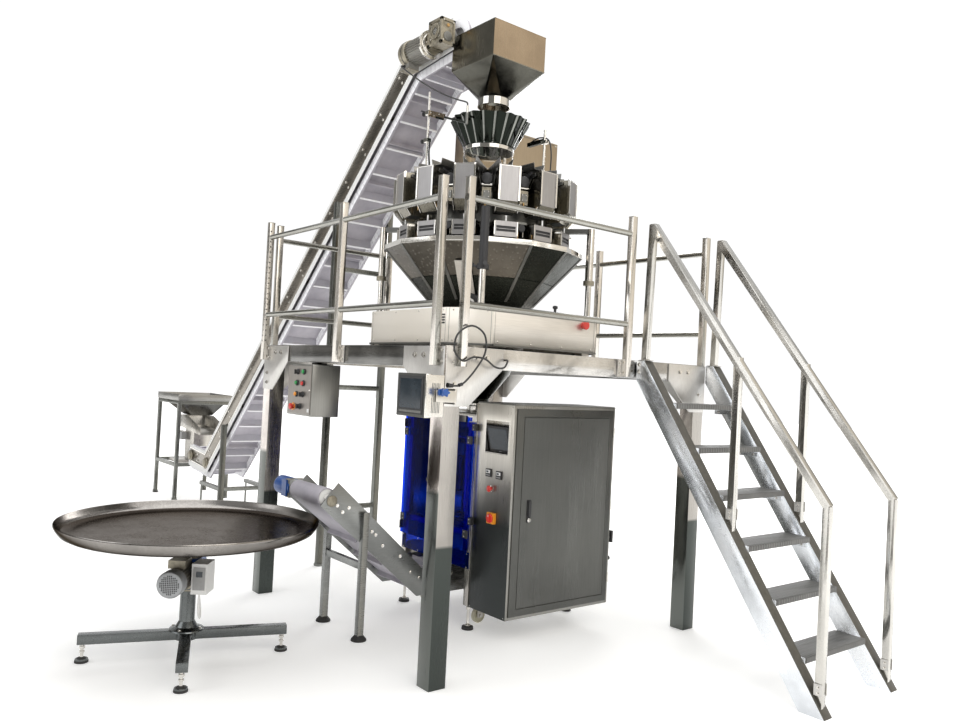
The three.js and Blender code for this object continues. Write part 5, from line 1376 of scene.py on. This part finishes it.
# ---- cables
p = Part("terminal_cable")
HC = [(1222, -1156, 1592), (1220, -1120, 1590), (1204, -1050, 1602), (1198, -965, 1680), (1198, -905, 1775), (1196, -915, 1868), (1194, -1000, 1908), (1190, -1085, 1860), (1186, -1100, 1775), (1182, -1040, 1722), (1178, -965, 1745), (1172, -880, 1738), (1160, -800, 1700), (1156, -735, 1700), (1150, -706, 1738), (1123, -702, 1742)]
p.sweep(HC, 5.2, "cable", 12, smooth=8)
p.rod((1222, -1160, 1592), (1219, -1124, 1590), 13, "black", 20, 9)
p.rod((1212, -1080, 1594), (1206, -1055, 1601), 9, "black", 18)
p.done(0, replaces=("hmi_cable",))
p = Part("drive_cable")
MC = [(-475, -446, 3875), (-475, -466, 3874), (-464, -479, 3864), (-420, -478, 3832), (-330, -455, 3764), (-200, -418, 3672), (-60, -375, 3590), (45, -336, 3540), (98, -310, 3520), (117, -301, 3508), (120, -300, 3491)]
p.sweep(MC, 5.2, "cable", 12, smooth=8)
p.done(0, replaces=("motor_cable",))
dress("staircase", "stair") if False else None
for n_, m_ in {"stair_handrail_inner": "hand", "stair_handrail_outer": "hand", "elevator_belt": "belt", "takeoff_belt": "belt"}.items():
    dress(n_, m_)
# belt side faces take the near-white colour: partly the belt edge's own white, partly painted light lifting the shade
# they sit in
paint("elevator_belt", [("belt_edge_white_lit", lambda q, n: abs(n.y) > 0.9)], "belt")

# --END--

# ---------------------------------------------------------- floor and light
floor_me = bpy.data.meshes.new("floor")
floor_me.from_pydata([(-40, -40, -0.001), (40, -40, -0.001), (40, 40, -0.001), (-40, 40, -0.001)], [], [(0, 1, 2, 3)])
floor = bpy.data.objects.new("floor", floor_me)
bpy.context.scene.collection.objects.link(floor)
fm, fnt, fb = tree("pale_floor")
fb.inputs["Roughness"].default_value = 0.85
fb.inputs["Specular IOR Level"].default_value = 0.15
link(fnt, ramp(fnt, noise(fnt, coords(fnt), 1.2, 4.0, 0.6), [(0.3, (0.80, 0.80, 0.79)), (0.7, (0.84, 0.84, 0.83))]), fb.inputs["Base Color"])
fl = fnt.nodes.new("ShaderNodeVectorMath")
fl.operation = "LENGTH"
link(fnt, coords(fnt), fl.inputs[0])
fb.inputs["Emission Color"].default_value = (1, 1, 1, 1)
link(fnt, rng(fnt, fl.outputs["Value"], 3.0, 9.0, 0.30, 1.0), fb.inputs["Emission Strength"])
floor_me.materials.append(fm)

world = bpy.data.worlds.new("studio")
bpy.context.scene.world = world
world.use_nodes = True
wn = world.node_tree
for nd in list(wn.nodes):
    wn.nodes.remove(nd)
wo = wn.nodes.new("ShaderNodeOutputWorld")
bg = wn.nodes.new("ShaderNodeBackground")
tc = wn.nodes.new("ShaderNodeTexCoord")
sep = wn.nodes.new("ShaderNodeSeparateXYZ")
wn.links.new(tc.outputs["Generated"], sep.inputs[0])
vm = wn.nodes.new("ShaderNodeVectorMath")
vm.operation = "DOT_PRODUCT"
vm.inputs[1].default_value = (math.cos(YAW), math.sin(YAW), 0.0)
wn.links.new(tc.outputs["Generated"], vm.inputs[0])
near = ramp(wn, rng(wn, sep.outputs["Z"], -1.0, 1.0, 0.0, 1.0), [(0.0, (0.05, 0.055, 0.05)), (0.46, (0.11, 0.115, 0.105)), (0.505, (0.20, 0.195, 0.18)), (0.56, (0.52, 0.50, 0.47)), (0.62, (0.16, 0.16, 0.15)), (0.74, (0.22, 0.22, 0.21)), (0.80, (0.85, 0.85, 0.84)), (0.90, (0.55, 0.55, 0.55)), (1.0, (0.30, 0.30, 0.30))])
vr = wn.nodes.new("ShaderNodeVectorMath")
vr.operation = "DOT_PRODUCT"
vr.inputs[1].default_value = (0.782, 0.60, 0.16)
wn.links.new(tc.outputs["Generated"], vr.inputs[0])
near = mixc(wn, rng(wn, vr.outputs["Value"], 0.62, 0.95, 0.0, 1.0), near, (1.0, 0.93, 0.82))
cr = mixc(wn, rng(wn, vm.outputs["Value"], 0.55, 0.80, 0.0, 1.0), near, (1.0, 1.0, 1.0))
wn.links.new(cr, bg.inputs["Color"])
bg.inputs["Strength"].default_value = 1.05
wn.links.new(bg.outputs[0], wo.inputs[0])


def lamp(name, at, aim, size, power, col=(1, 1, 1)):
    d = bpy.data.lights.new(name, "AREA")
    d.shape, d.size, d.size_y, d.energy, d.color = "RECTANGLE", size[0], size[1], power, col
    o = bpy.data.objects.new(name, d)
    bpy.context.scene.collection.objects.link(o)
    o.location = W(*at)
    o.rotation_euler = (W(*aim) - W(*at)).to_track_quat("-Z", "Y").to_euler()
    return o


lamp("key", (7.5, -2.0, 6.0), (0, 0, 1.5), (6.0, 6.0), 260, (1.0, 0.97, 0.93))
lamp("left", (-1.5, -8.5, 5.2), (0, 0, 1.6), (6.0, 5.0), 190, (0.97, 0.98, 1.0))
lamp("top", (0, 0, 9.5), (0, 0, 0), (9.0, 9.0), 520)
lamp("back", (-5, 6, 5), (0, 0, 2), (4, 3), 260)

bpy.context.scene.view_settings.view_transform = "Standard"
bpy.context.scene.view_settings.look = "None"
bpy.context.scene.view_settings.exposure = 0.0
